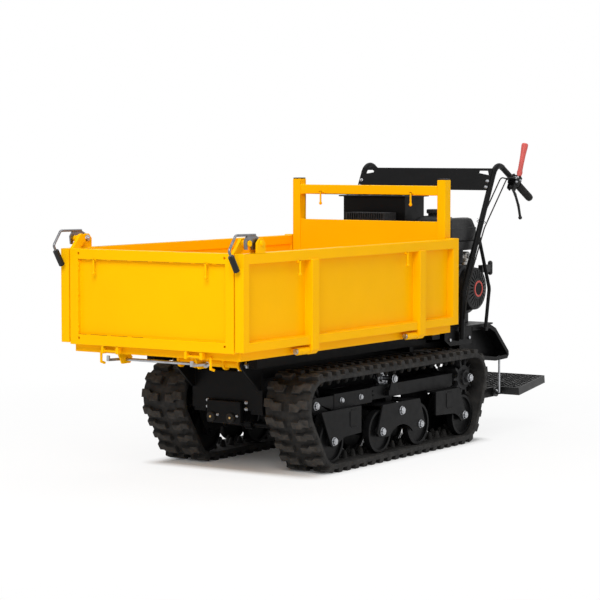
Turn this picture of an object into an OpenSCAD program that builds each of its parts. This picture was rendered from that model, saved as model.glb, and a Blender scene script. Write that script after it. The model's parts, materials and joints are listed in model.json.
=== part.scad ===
// Tracked power carrier with a hydraulic tipping bed, drop sides and a swinging front gate.
// Frame: +X to the tipping end, +Y to the machine's left, +Z up, ground at zero, millimetres.
// Inside the modules X runs back from the gate's front face, and placed() shifts it to the frame.

/* [Load bed] */
// Length of the drop sides
bed_length = 1616; // [1400:4:1800]
// Width over the drop sides
bed_width = 880; // [840:4:940]
// Height of the drop sides and gate
side_height = 370; // [330:2:420]
// Height of the panels' lower edge above ground
bed_height = 538; // [534:1:560]
// Thickness of the side panels
panel_thick = 40; // [36:1:44]
// Width of the panels' rails and posts
rail_width = 40; // [34:1:48]
// Thickness of the panels' sheet
sheet_thick = 6; // [4:1:8]
// Height of the headboard posts above the panels' lower edge
head_height = 625; // [560:5:680]
// Depth of the floor frame's rails
floor_rail = 25; // [22:1:28]
// Thickness of the floor sheet
floor_sheet = 8; // [6:1:10]

/* [Tipping gear] */
// Distance of the tipping pivot behind the gate
pivot_back = 398; // [388:1:408]
// Radius of the tipping pivot bolts
pivot_bolt_r = 10; // [9:0.5:11]
// Radius of the tipping pivot tube
pivot_tube_r = 16; // [15:0.5:18]
// Distance of both cylinder pins from the tipping pivot
lift_arm = 385; // [375:1:395]
// Angle between the two cylinder pins seen from the pivot
lift_angle = 50; // [47:0.5:52]
// Radius of the cylinder barrel
barrel_r = 30; // [27:0.5:33]
// Radius of the cylinder rod
lift_rod_r = 16; // [14:0.5:18]

/* [Tracks] */
// Width of each rubber belt
track_width = 211; // [207:1:230]
// Gap between the two belts
track_gap = 402; // [396:2:420]
// Distance from idler axle to sprocket axle
wheel_span = 1209; // [1196:1:1230]
// Belt radius at the ground rollers
roller_radius = 90; // [84:1:92]
// Belt radius at the idler
idler_radius = 101; // [96:1:104]
// Belt radius at the sprocket
sprocket_radius = 91; // [90:0.5:93]
// Height of the idler axle
idler_height = 275; // [270:1:280]
// Thickness of the belt between its lugs
belt_thick = 20; // [18:0.5:22]
// Height of the tread lugs
lug_height = 17; // [14:0.5:20]
// Height of the guide horns
horn_height = 30; // [26:1:32]
// Gap between the wheels and the belt
wheel_gap = 1; // [0.8:0.1:1.5]
// Distance between the two rollers of a rocker
rocker_spread = 310; // [300:1:320]
// Radius of the wheel axles
axle_r = 10; // [9:0.5:11]

/* [Handlebar] */
// Radius of the handlebar tubes
bar_r = 12.7; // [11:0.1:14]
// Distance between the handlebar tubes
bar_spread = 690; // [684:2:710]
// Radius of the grips
grip_r = 16.5; // [15:0.5:18]
// Height of the handlebar's highest point
bar_height = 1205; // [1190:1:1240]
// Length of the grips
grip_length = 130; // [110:2:140]

/* [Engine deck] */
// Width of the deck and rear cowl
deck_width = 656; // [640:2:660]
// Height of the deck's top face
deck_height = 508; // [500:1:514]
// Radius of the starter cover
starter_r = 100; // [94:1:104]

/* [Platform] */
// Width of the folding platform
platform_width = 690; // [640:5:740]
// Depth of the folding platform
platform_depth = 285; // [260:5:320]
// Slope of the platform
platform_slope = 8; // [6:1:10]

/* [Fits] */
// Radial clearance of every turning joint
run_gap = 0.05; // [0.03:0.01:0.08]
// Side gap between pieces that move past each other
side_gap = 2; // [1.5:0.1:3]
// Gap under heads and feet that sit on another piece
touch = 0.3; // [0.2:0.1:0.5]

/* [Hidden] */
$fn = 48;

// Colours
yellow = [1.0, 0.68, 0.0];
black = [0.05, 0.05, 0.055];
rubber = [0.09, 0.085, 0.08];
zinc = [0.72, 0.73, 0.74];
steel = [0.55, 0.56, 0.58];
red = [0.85, 0.16, 0.13];
cast = [0.2, 0.2, 0.21];

// Overall length sets the frame's origin
grip_reach = 72;
platform_back = 2330;
shift_x = (platform_back + platform_depth * cos(platform_slope) - grip_reach) / 2;

// Bed
half_in = bed_width / 2 - panel_thick;
half_out = bed_width / 2;
z_top = bed_height + side_height;
floor_top = bed_height - 4;
floor_low = floor_top - floor_sheet;
rail_low = floor_low - floor_rail;
gate_gap = 5;
gate_half = half_in - gate_gap;
gate_thick = 36;
gate_low = bed_height - 6;
floor_front = -38;
floor_half = half_in - 1;
pivot_x = -pivot_back;
pivot_z = rail_low - 53;
pivot_in = 159;
pivot_out = 169;
pivot_head = pivot_tube_r + 11;
ring_r = pivot_tube_r + 10;
ring_t = 10;
ring_at = [70, pivot_in - 17];
beam_front = -330;
beam_y = 250;
beam_w = 40;
belt_top = idler_height + idler_radius + belt_thick + lug_height;
beam_low = belt_top + 28;
hinge_y = half_out - 15;
hinge_z = bed_height - 23;
hinge_pin_r = 7;
strap_w = 50;
strap_1 = -480;
strap_2 = -bed_length + 316;
strap_out = half_out + 8;
knuckle_r = 15;
knuckle_len = 78;
head_back = -bed_length - 4;
post_w = 40;
post_d = 50;
head_top = bed_height + head_height;
head_front = head_back + post_d;
ledge = 2;

// Gate and latches
gate_pin_x = -62;
gate_pin_z = z_top + 37;
gate_pin_r = 12;
latch_x = -120;
latch_z = z_top + 37;
latch_pin_r = 6;
latch_y = half_in + 21;
latch_t = 6;
notch_gap = 0.5;
rod_r = 5;
shaft_x = -88;
shaft_z = bed_height - 62;
shaft_r = 6;
dog_y = 202;
dog_half = 5;
striker_z = bed_height - 26;
striker_x = -16;
striker_r = 5;
hook_to = [striker_x - shaft_x, striker_z - shaft_z];
hook_far = norm(hook_to);
hook_under = striker_r + dog_half + 1.5;
hook_swing = 16;
hook_rest = atan2(hook_to[1], hook_to[0]) - asin(hook_under / hook_far) - hook_swing;
tie_y = 265;
grip_end = [19, latch_z - 96];
lever_path = [[latch_x + 16, latch_z + 31], [22, latch_z + 33], [66, latch_z - 24], grip_end];

// Cylinder
lift_rise = 4.6;
pin_b = [pivot_x - lift_arm * cos(lift_rise), pivot_z + lift_arm * sin(lift_rise)];
low_angle = lift_angle - lift_rise;
pin_a = [pivot_x - lift_arm * cos(low_angle), pivot_z - lift_arm * sin(low_angle)];
lift_len = norm(pin_b - pin_a);
lift_tilt = atan2(pin_b[0] - pin_a[0], pin_b[1] - pin_a[1]);
lift_pin_r = 10;
lift_eye_r = 22;
lift_eye_w = 36;
slot_free = 11;
collar = 4;
bed_cheek_in = barrel_r + collar + side_gap + 2;
bed_cheek_out = bed_cheek_in + 12;

// Undercarriage
deck_x = -bed_length - 74;
sprocket_x = deck_x - 125;
idler_x = sprocket_x + wheel_span;
roller_z = lug_height + belt_thick + roller_radius;
sprocket_z = idler_height + idler_radius - sprocket_radius;
front_x = idler_x - 84;
rear_x = sprocket_x + 65;
rocker_x = (front_x + rear_x) / 2 + 5;
rocker_z = roller_z + 73;
track_in = track_gap / 2;
track_out = track_in + track_width;
track_mid = (track_in + track_out) / 2;
horn_in = 14;
horn_out = 44;
wheel_in = 50;
wheel_out = 78;
plate_in = wheel_out + 4;
plate_t = 8;
plate_out = plate_in + plate_t;
beam_half = 44;
yoke_in = 50;
yoke_out = yoke_in + plate_t;
tf_low = roller_z + 129;
tf_high = tf_low + 56;
fork_high = tf_low - 4;
fork_cover = 8;
cover_end = idler_x - idler_radius - 8;
fork_arch = 102;
rocker_arch = 130;
eye_r = 25;
carrier_r = 40;
carrier_out = 66;
carrier_at = [rocker_x + 25, idler_height + idler_radius - wheel_gap - carrier_r];

// Belt loop: circles of the pitch line, in order along the belt
pitch_off = 8;
loop = [
  [idler_x, idler_height, idler_radius + pitch_off],
  [sprocket_x, sprocket_z, sprocket_radius + pitch_off],
  [rear_x, roller_z, roller_radius + pitch_off],
  [front_x, roller_z, roller_radius + pitch_off]
];
loop_n = 4;
function centre(i) = [loop[i % loop_n][0], loop[i % loop_n][1]];
function radius(i) = loop[i % loop_n][2];
function span(i) = centre(i + 1) - centre(i);
function along(i) = span(i) / norm(span(i));
function lean(i) = (radius(i) - radius(i + 1)) / norm(span(i));
function flat(i) = sqrt(1 - lean(i) * lean(i));
function normal(i) = along(i) * lean(i) + [along(i)[1], -along(i)[0]] * flat(i);
function bearing(i) = atan2(normal(i % loop_n)[1], normal(i % loop_n)[0]);
function wrap(a) = a < 0 ? a + 360 : a;
function turn(i) = wrap(bearing(i) - bearing(i + loop_n - 1));
function arc_len(i) = turn(i) * PI / 180 * radius(i);
function line_len(i) = norm(span(i)) * flat(i);
arc = [for (i = [0 : loop_n - 1]) arc_len(i)];
line = [for (i = [0 : loop_n - 1]) line_len(i)];
function start(i) = i == 0 ? 0 : start(i - 1) + arc[i - 1] + line[i - 1];
starts = [for (i = [0 : loop_n]) start(i)];
loop_len = starts[loop_n];
function piece(s) = s >= starts[3] ? 3 : s >= starts[2] ? 2 : s >= starts[1] ? 1 : 0;
function spot_at(s, h, i, a) =
  a <= arc[i]
    ? let (t = bearing(i + loop_n - 1) + a / radius(i) * 180 / PI)
      centre(i) + (radius(i) + h) * [cos(t), sin(t)]
    : let (n = normal(i), d = [-n[1], n[0]])
      centre(i) + (radius(i) + h) * n + (a - arc[i]) * d;
function mod_len(s) = s - loop_len * floor(s / loop_len);
function spot(s, h) =
  let (m = mod_len(s), i = piece(m))
  spot_at(m, h, i, m - starts[i]);
teeth = 10;
pitch_wish = 2 * PI * (sprocket_radius + pitch_off) / teeth;
pitches = round(loop_len / pitch_wish);
pitch = loop_len / pitches;
half_pitch = pitch / 2;
lug_len = 0.52 * pitch;
lug_draft = 3;
horn_base = 13;
horn_tip = 7;
belt_out = belt_thick - pitch_off;
lug_out = belt_out + lug_height;
belt_in = -pitch_off;
horn_in_h = belt_in - horn_height;
function lug(s) = [
  spot(s, belt_out), spot(s + lug_draft, lug_out),
  spot(s + lug_len - lug_draft, lug_out), spot(s + lug_len, belt_out)
];
function lugs(phase) = [for (i = [0 : pitches - 1]) each lug((i + phase) * pitch)];
function plain(h) = [for (i = [0 : 3 * pitches - 1]) spot(i * pitch / 3, h)];
function horn(s) = [
  spot(s - horn_base, belt_in), spot(s - horn_tip, horn_in_h),
  spot(s + horn_tip, horn_in_h), spot(s + horn_base, belt_in),
  spot(s + half_pitch, belt_in)
];
function horns() = [for (i = [0 : pitches - 1]) each horn(i * pitch)];
step_back = 0.18;
tooth_shift = 0.5;
mesh_s = round((starts[1] + arc[1] / 2) / pitch) * pitch;
mesh_angle = bearing(loop_n) + (mesh_s - starts[1]) / radius(1) * 180 / PI;

// Chassis
rail_in = 110;
rail_out = 170;
rail_z = tf_low - 21;
rail_h = 100;
cross_front = -507;
deck_half = deck_width / 2;
deck_t = 8;
deck_low = deck_height - deck_t;
upper_high = deck_low - 70;
upper_low = upper_high - 50;
rest_x = -1480;
rest_high = beam_low - 1;
cross_t = 8;
cross_half = 174;
cross_high = 405;
hanger_t = 12;
rails_back = deck_x - 470;
riser_back = deck_x - 515;
riser_w = 55;

// Deck and engine
cowl_x = deck_x - 248;
cowl_low = sprocket_z + 44;
cowl_wall = 4;
skirt_low = belt_top + 13;
skirt_bolt_z = (skirt_low + deck_low) / 2 - 8;
crank_x = deck_x - 298;
crank_z = deck_height + 161;
starter_y = 330;
sheet_inset = 6;
rocker_in = 5;
boss_out = 16;
engine_in = 52;
engine_out = 226;
cylinder_lean = 55;
head_end = 190;
hydro_top = deck_height + 572;
hydro_x = deck_x - 140;
hydro_in = 38;
hydro_out = -290;
gear_at = [deck_x - 405, deck_height + 30];
gear_y = 150;
gear_pin_r = 6;
tank_low = deck_height + 372;
tank_neck = [deck_x - 215, 150];
cleaner_low = deck_height + 378;
muffler_low = deck_height + 392;

// Handlebar side path, in X back from the deck's front edge
bar_y = bar_spread / 2;
bar_low = deck_height - 54;
bar_foot = [deck_x - 118, bar_low];
bar_knee = [deck_x - 130, bar_low + 196];
bar_crown = [deck_x - 432, bar_height + 36];
grip_at = [deck_x - 638, bar_height - 74];
grip_tip = [deck_x - 756, bar_height - 137];
bar_bend = 60;
bar_way = (bar_crown - bar_knee) / norm(bar_crown - bar_knee);
bar_lean = atan2(-bar_way[0], bar_way[1]);
brace_top = bar_knee + bar_way * 300;
grip_dir = (grip_tip - grip_at) / norm(grip_tip - grip_at);
bar_end = grip_at + grip_dir * grip_length;
bar_path = [bar_foot, bar_knee, bar_crown, bar_end];
block_at = grip_at - grip_dir * 37;
block_tilt = atan2(grip_dir[1], grip_dir[0]) + 180;
function on_block(x, z) =
  block_at + [x * cos(block_tilt) - z * sin(block_tilt), x * sin(block_tilt) + z * cos(block_tilt)];
trigger_at = on_block(10, -36);
drive_at = on_block(-30, 26);
lever_pin_r = 5;
panel_gap = 0.7;
panel_along = 510;

// Platform
hinge_x = -platform_back;
hinge_pz = 165;
arm_y = 215;
arm_t = 12;
hinge_r = 22;
platform_pin_r = 10;
lock_y = deck_half - 28;
lock_x = cowl_x - 305;

// Bends of the bars are a little thicker than the bars, which reach into them
knee = 1.03;
lap = 2;

// Solids between two corners, round bars and plates
module placed() {
  translate([shift_x, 0, 0])
    children();
}

module box(a, b) {
  translate(a)
    cube(b - a);
}

module bar_x(r, x0, x1, y, z) {
  translate([x0, y, z])
    rotate([0, 90, 0])
      cylinder(r = r, h = x1 - x0);
}

module bar_y(r, y0, y1, p) {
  translate([p[0], y0, p[1]])
    rotate([-90, 0, 0])
      cylinder(r = r, h = y1 - y0);
}

module hex_y(r, y0, y1, p) {
  translate([p[0], y0, p[1]])
    rotate([-90, 0, 0])
      cylinder(r = r, h = y1 - y0, $fn = 6);
}

module bar_z(r, z0, z1, p) {
  translate([p[0], p[1], z0])
    cylinder(r = r, h = z1 - z0);
}

module rod(p, q, r) {
  v = q - p;
  translate(p)
    rotate([0, acos(v[2] / norm(v)), atan2(v[1], v[0])])
      cylinder(r = r, h = norm(v));
}

function way(p, i) = (p[i + 1] - p[i]) / norm(p[i + 1] - p[i]);
function cross_z(a, b) = a[0] * b[1] - a[1] * b[0];
function bend_at(p, i) = atan2(cross_z(way(p, i - 1), way(p, i)), way(p, i - 1) * way(p, i));
function back_off(p, i, bend) =
  i == 0 || i == len(p) - 1 ? 0 : bend * tan(abs(bend_at(p, i)) / 2) - lap;

module bent_rod(p, y, r, bend) {
  for (i = [0 : len(p) - 2]) {
    a = p[i] + way(p, i) * back_off(p, i, bend);
    b = p[i + 1] - way(p, i) * back_off(p, i + 1, bend);
    rod([a[0], y, a[1]], [b[0], y, b[1]], r);
  }
  for (i = [1 : len(p) - 2]) {
    turned = bend_at(p, i);
    hand = turned > 0 ? 1 : -1;
    d = way(p, i - 1);
    a = p[i] - d * bend * tan(abs(turned) / 2);
    c = a + hand * bend * [-d[1], d[0]];
    first = atan2(a[1] - c[1], a[0] - c[0]);
    translate([c[0], y, c[1]])
      rotate([90, 0, 0])
        rotate([0, 0, hand > 0 ? first : first + turned])
          rotate_extrude(angle = abs(turned))
            translate([bend, 0])
              circle(r = r * knee);
  }
}

module plate_xz(y0, y1) {
  translate([0, y1, 0])
    rotate([90, 0, 0])
      linear_extrude(height = y1 - y0)
        children();
}

module turned_y(p, profile) {
  translate([p[0], 0, p[1]])
    rotate([-90, 0, 0])
      rotate_extrude()
        polygon(profile);
}

module both() {
  children();
  mirror([0, 1, 0])
    children();
}

// Chassis
module pivot_plate() {
  lean = 40;
  edge = (pivot_head - 1) * [sin(lean), -cos(lean)];
  drop = 145;
  back = -620;
  difference() {
    plate_xz(pivot_in, pivot_out)
      union() {
        translate([pivot_x, pivot_z])
          circle(r = pivot_head);
        polygon([
          [pivot_x, pivot_z + pivot_head - 1], [pivot_x, pivot_z] + edge,
          [pivot_x, pivot_z] + edge - drop * [cos(lean), sin(lean)],
          [back, cross_high - 70], [back, upper_high - 4]
        ]);
      }
    bar_y(pivot_bolt_r + run_gap, pivot_in - 5, pivot_out + 5, [pivot_x, pivot_z]);
  }
}

// Cross tube with the lower pin of the cylinder, hung from the rails
module lift_base() {
  tube_r = 13;
  hanger_r = 22;
  hang_in = rail_in + 2;
  both() {
    bar_y(tube_r, barrel_r + side_gap, hang_in + hanger_t + 4, pin_a);
    plate_xz(hang_in, hang_in + hanger_t)
      union() {
        translate(pin_a)
          circle(r = hanger_r);
        translate([pin_a[0] - hanger_r, pin_a[1]])
          square([2 * hanger_r, rail_z + 20 - pin_a[1]]);
      }
  }
  bar_y(lift_pin_r, -barrel_r - side_gap - 3, barrel_r + side_gap + 3, pin_a);
}

module platform_arm() {
  plate_xz(arm_y, arm_y + arm_t)
    union() {
      translate([riser_back, hinge_pz - hinge_r])
        square([riser_w, upper_high - 8 - hinge_pz + hinge_r]);
      translate([hinge_x, hinge_pz - hinge_r])
        square([riser_back + riser_w - hinge_x, 2 * hinge_r]);
      translate([hinge_x, hinge_pz])
        circle(r = hinge_r);
    }
  bar_y(platform_pin_r, arm_y, arm_y + arm_t + 34, [hinge_x, hinge_pz]);
}

module chassis_frame() {
  post_w = 50;
  color(black)
    placed() {
      both()
        box([deck_x, rail_in, rail_z], [cross_front - cross_t, rail_out, rail_z + rail_h]);
      box([cross_front - cross_t, -cross_half, rail_z + 15], [cross_front, cross_half, cross_high]);
      box([cross_front - 28, 3 - rail_out, cross_high - 60],
          [cross_front - cross_t + 2, rail_out - 3, cross_high]);
      both()
        pivot_plate();
      box([-960, -rail_in - 5, rail_z + 4], [-900, rail_in + 5, rail_z + rail_h - 4]);
      both()
        box([rails_back, rail_in, upper_low], [cross_front - cross_t, rail_out, upper_high]);
      both()
        box([deck_x + 10, rail_in, rail_z + 20], [deck_x + 80, rail_out, upper_low + 5]);
      box([rest_x - 30, -275, rest_high - 22], [rest_x, 275, rest_high]);
      both()
        for (x = [-1040, -700])
          box([x, rail_in, rail_z + 20], [x + 30, rail_out, upper_high - 5]);
      both()
        box([rest_x - 30, rail_in, rail_z + 20], [rest_x, rail_out, rest_high - 10]);
      both()
        for (post = [[deck_x - 110, deck_low], [deck_x - 370, deck_low - cowl_wall]])
          box([post[0], rail_in, upper_high - 5], [post[0] + post_w, rail_out, post[1]]);
      lift_base();
      box([riser_back, -arm_y, upper_low + 8], [riser_back + riser_w, arm_y, upper_high - 8]);
      both()
        platform_arm();
    }
}

module front_bumper() {
  half = 83;
  low = 195;
  high = 288;
  deep = 27;
  wall = 5;
  hole_r = 9;
  hole_z = 220;
  color(black)
    placed()
      difference() {
        box([cross_front, -half, low], [cross_front + deep, half, high]);
        box([cross_front - 1, wall - half, low + wall], [cross_front + deep - wall, half - wall, high - wall]);
        for (y = [-58, 38])
          bar_x(hole_r, cross_front + deep - 2 * wall, cross_front + deep + 1, y, hole_z);
      }
}

// Undercarriage, drawn for the left and mirrored for the right
module axle_bore(p) {
  bar_y(axle_r + run_gap, track_mid - plate_out - 5, track_mid + plate_out + 5, p);
}

// Fork cheek: top edge, straight lower edge, arch down to the axle eye
module fork_cheek(p, front, back, arch, rise, end_rise) {
  difference() {
    union() {
      polygon([
        p + [front[0], fork_high - p[1]], p + [back[0], fork_high - p[1]], p + [back[0], end_rise],
        p + [arch, rise], p + [arch, -eye_r], p + [0, -eye_r], p + [front[1], -eye_r / 2]
      ]);
      translate(p)
        circle(r = eye_r);
    }
    translate(p + [arch, rise - fork_arch])
      circle(r = fork_arch);
  }
}

module fork(p, front, back, arch, rise, end_rise) {
  plate_xz(track_mid + plate_in, track_mid + plate_out)
    fork_cheek(p, front, back, arch, rise, end_rise);
  plate_xz(track_mid - plate_out, track_mid - plate_in)
    fork_cheek(p, front, back, arch, rise, end_rise);
  ends = [min(p[0] + front[0], p[0] + back[0]), min(max(p[0] + front[0], p[0] + back[0]), cover_end)];
  box([ends[0], track_mid - plate_out, fork_high - fork_cover],
      [ends[1], track_mid + plate_out, fork_high]);
  box([ends[0], track_mid - beam_half, fork_high - 1], [ends[1], track_mid + beam_half, tf_low + 1]);
}

module idler_yoke() {
  yoke_back = 130;
  yoke_tall = 32;
  nose = 34;
  for (y = [-yoke_out, yoke_in])
    plate_xz(track_mid + y, track_mid + y + plate_t)
      union() {
        translate([idler_x - yoke_back - 4, idler_height - yoke_tall])
          square([yoke_back + 4, 2 * yoke_tall]);
        translate([idler_x, idler_height])
          circle(r = nose);
      }
  box([idler_x - 420, track_mid - yoke_out - 2, fork_high - 2],
      [idler_x - yoke_back, track_mid + yoke_out + 2, tf_high]);
  bar_x(13, idler_x - 442, idler_x - 418, track_mid + yoke_in - 4, tf_low + 30);
}

module carrier_bracket() {
  foot = 40;
  neck = 16;
  box([carrier_at[0] - foot, track_mid + beam_half - 2, tf_low + 10],
      [carrier_at[0] + foot, track_mid + carrier_out, tf_low + 34]);
  plate_xz(track_mid + carrier_out - plate_t, track_mid + carrier_out)
    union() {
      polygon([
        [carrier_at[0] - foot, tf_low + 10], [carrier_at[0] + foot, tf_low + 10],
        [carrier_at[0] + neck, carrier_at[1]], [carrier_at[0] - neck, carrier_at[1]]
      ]);
      translate(carrier_at)
        circle(r = neck);
    }
}

module track_frame() {
  front_at = [front_x, roller_z];
  rear_at = [rear_x, roller_z];
  idler_at = [idler_x, idler_height];
  hanger = 25;
  notch = carrier_r + 5;
  color(black)
    placed()
      difference() {
        union() {
          box([rear_x + 30, track_mid - beam_half, tf_low],
              [idler_x - 134, track_mid + beam_half, tf_high]);
          idler_yoke();
          fork(front_at, [92, 22], [-207, 0], -100, 10, 14);
          fork(rear_at, [44, -22], [250, 0], 110, 16, 22);
          box([rocker_x - hanger, track_mid - hanger, rocker_z - 20],
              [rocker_x + hanger, track_mid + hanger, tf_low + 2]);
          bar_y(hanger, track_mid - hanger, track_mid + hanger, [rocker_x, rocker_z]);
          carrier_bracket();
          for (x = [-860, -1580])
            box([x, rail_out, tf_low + 4], [x + 70, track_mid - beam_half + 2, tf_high - 6]);
        }
        box([carrier_at[0] - notch, track_mid - horn_in, carrier_at[1] - notch],
            [carrier_at[0] + notch, track_mid + horn_in, tf_high + 1]);
        axle_bore(idler_at);
        axle_bore(front_at);
        axle_bore(rear_at);
        bar_y(axle_r + run_gap, track_mid - 40, track_mid + 40, [rocker_x, rocker_z]);
        bar_y(axle_r + run_gap, track_mid + beam_half, track_mid + plate_out, carrier_at);
      }
}

module track_frame_left() {
  track_frame();
}

module track_frame_right() {
  mirror([0, 1, 0])
    track_frame();
}

module band(y0, y1, outer, inner) {
  plate_xz(y0, y1)
    difference() {
      polygon(outer);
      polygon(inner);
    }
}

module track() {
  color(rubber)
    placed() {
      band(track_mid + horn_out, track_out, lugs(0), plain(belt_in));
      band(track_mid + horn_in, track_mid + horn_out, lugs(-step_back), horns());
      band(track_mid - horn_in, track_mid + horn_in, plain(belt_out), plain(belt_in));
      band(track_mid - horn_out, track_mid - horn_in, lugs(-step_back), horns());
      band(track_in, track_mid - horn_out, lugs(0), plain(belt_in));
    }
}

module track_left() {
  track();
}

module track_right() {
  mirror([0, 1, 0])
    track();
}

module rocker_cheek(a, b, top) {
  difference() {
    union() {
      polygon([
        a + [0, -eye_r], a + [26, -18], a + [40, -4], [a[0] - rocker_in, top],
        [b[0] + rocker_in, top], b + [-40, -4], b + [-26, -18], b + [0, -eye_r]
      ]);
      for (p = [a, b])
        translate(p)
          circle(r = eye_r);
    }
    translate([rocker_x, roller_z + 14 - rocker_arch])
      circle(r = rocker_arch);
  }
}

module rocker() {
  a = [rocker_x + rocker_spread / 2, roller_z];
  b = [rocker_x - rocker_spread / 2, roller_z];
  top = fork_high - fork_cover - 6;
  color(black)
    placed()
      difference() {
        union() {
          for (y = [-plate_out, plate_in])
            plate_xz(track_mid + y, track_mid + y + plate_t)
              rocker_cheek(a, b, top);
          box([b[0] + rocker_in + 4, track_mid - plate_out, top - 8],
              [rocker_x - 40, track_mid + plate_out, top]);
          box([rocker_x + 40, track_mid - plate_out, top - 8],
              [a[0] - rocker_in - 4, track_mid + plate_out, top]);
          bar_y(axle_r, track_mid - plate_out, track_mid + plate_out + 2, [rocker_x, rocker_z]);
          hex_y(16, track_mid + plate_out, track_mid + plate_out + 8, [rocker_x, rocker_z]);
        }
        axle_bore(a);
        axle_bore(b);
      }
}

module rocker_left() {
  rocker();
}

module rocker_right() {
  mirror([0, 1, 0])
    rocker();
}

function wheel_profile(r, hub) = [
  [0, -plate_out - 6], [axle_r, -plate_out - 6], [axle_r, -wheel_out - 2], [hub, -wheel_out - 2],
  [hub, -wheel_out + 10], [r - 12, -wheel_out + 10], [r - 12, -wheel_out], [r, -wheel_out],
  [r, -wheel_in], [r - 12, -wheel_in], [r - 12, -wheel_in - 10], [hub, -wheel_in - 10],
  [hub, wheel_in + 10], [r - 12, wheel_in + 10], [r - 12, wheel_in], [r, wheel_in],
  [r, wheel_out], [r - 12, wheel_out], [r - 12, wheel_out - 10], [hub, wheel_out - 10],
  [hub, wheel_out + 2], [axle_r, wheel_out + 2], [axle_r, plate_out + 6], [0, plate_out + 6]
];

function moved(profile, y) = [for (p = profile) [p[0], p[1] + y]];

module wheel(p, r, hub) {
  placed() {
    color(black)
      turned_y(p, moved(wheel_profile(r - wheel_gap, hub), track_mid));
    color(zinc)
      hex_y(15, track_mid + plate_out + 1, track_mid + plate_out + 10, p);
  }
}

module roller(n) {
  xs = [front_x, rocker_x + rocker_spread / 2, rocker_x - rocker_spread / 2, rear_x];
  wheel([xs[n - 1], roller_z], roller_radius, 22);
}

module roller_left_1() {
  roller(1);
}

module roller_left_2() {
  roller(2);
}

module roller_left_3() {
  roller(3);
}

module roller_left_4() {
  roller(4);
}

module roller_right_1() {
  mirror([0, 1, 0])
    roller(1);
}

module roller_right_2() {
  mirror([0, 1, 0])
    roller(2);
}

module roller_right_3() {
  mirror([0, 1, 0])
    roller(3);
}

module roller_right_4() {
  mirror([0, 1, 0])
    roller(4);
}

module idler_left() {
  at = [idler_x, idler_height];
  r = idler_radius - wheel_gap;
  hub = 40;
  hub_out = yoke_in - side_gap;
  disc = horn_in - 2;
  rim = 14;
  web = 6;
  placed() {
    color(black)
      turned_y(at, moved([
        [0, -yoke_out - 6], [axle_r, -yoke_out - 6], [axle_r, -hub_out], [hub, -hub_out],
        [hub, -disc], [r - rim, -disc + web], [r - rim, -disc], [r, -disc],
        [r, disc], [r - rim, disc], [r - rim, disc - web], [hub, disc],
        [hub, hub_out], [axle_r, hub_out], [axle_r, yoke_out + 6], [0, yoke_out + 6]
      ], track_mid));
    color(zinc)
      hex_y(15, track_mid + yoke_out + 1, track_mid + yoke_out + 10, at);
  }
}

module idler_right() {
  mirror([0, 1, 0])
    idler_left();
}

module carrier_left() {
  disc = horn_in - 2;
  rim = carrier_r - 8;
  hub = 16;
  web = 6;
  placed() {
    color(steel)
      turned_y(carrier_at, moved([
        [0, -disc - 2], [hub, -disc - 2], [hub, -disc + web], [rim, -disc + web], [rim, -disc],
        [carrier_r, -disc], [carrier_r, disc], [rim, disc], [rim, disc - web], [hub, disc - web],
        [hub, disc + 2], [axle_r, disc + 2], [axle_r, carrier_out + 6], [0, carrier_out + 6]
      ], track_mid));
    color(zinc)
      hex_y(14, track_mid + carrier_out + 1, track_mid + carrier_out + 10, carrier_at);
  }
}

module carrier_right() {
  mirror([0, 1, 0])
    carrier_left();
}

module sprocket_left() {
  at = [sprocket_x, sprocket_z];
  root = sprocket_radius - horn_height - 6;
  tip = sprocket_radius - 8;
  tip_half = 4;
  root_half = 9;
  placed()
    color(cast) {
      turned_y(at, [
        [0, 60], [22, 60], [22, track_mid - 48], [root, track_mid - 48], [root, track_mid + 48],
        [34, track_mid + 48], [34, track_mid + 62], [16, track_mid + 62],
        [16, track_mid + 84], [0, track_mid + 84]
      ]);
      for (k = [0 : teeth - 1])
        translate([at[0], 0, at[1]])
          rotate([0, -mesh_angle - (k + tooth_shift) * 360 / teeth, 0])
            plate_xz(track_mid - 46, track_mid + 46)
              polygon([[root - 8, -root_half], [tip, -tip_half], [tip, tip_half], [root - 8, root_half]]);
      hex_y(24, track_mid + 62, track_mid + 76, at);
    }
}

module sprocket_right() {
  mirror([0, 1, 0])
    sprocket_left();
}

module gearbox() {
  at = [sprocket_x, sprocket_z];
  color(cast)
    placed()
      difference() {
        union() {
          box([at[0] - 80, -90, at[1] - 75], [at[0] + 80, 90, upper_low]);
          box([at[0] - 60, -rail_out, at[1] + 30], [at[0] + 60, rail_out, upper_low]);
          bar_y(46, -track_in + 8, track_in - 8, at);
          bar_y(62, -110, 110, at);
        }
        both()
          bar_y(22 + run_gap, 59, track_in, at);
      }
}

// Tipping gear
module tip_pins() {
  at = [pivot_x, pivot_z];
  color(zinc)
    placed()
      both() {
        bar_y(pivot_bolt_r, pivot_in - 51, pivot_out + 1, at);
        hex_y(pivot_bolt_r + 6, pivot_out + touch, pivot_out + 13, at);
      }
}

module lift_frame(p) {
  translate([p[0], 0, p[1]])
    rotate([0, lift_tilt, 0])
      children();
}

module lift_barrel() {
  barrel_end = lift_len - lift_eye_r - 22;
  color(black)
    placed()
      lift_frame(pin_a)
        difference() {
          union() {
            rotate([90, 0, 0])
              cylinder(r = lift_eye_r, h = lift_eye_w, center = true);
            cylinder(r = barrel_r, h = barrel_end);
            translate([0, 0, barrel_end - 26])
              cylinder(r = barrel_r + collar, h = 26);
          }
          rotate([90, 0, 0])
            cylinder(r = lift_pin_r + run_gap, h = lift_eye_w + 60, center = true);
          translate([0, 0, lift_eye_r + 4])
            cylinder(r = lift_rod_r + run_gap, h = barrel_end);
        }
}

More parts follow.
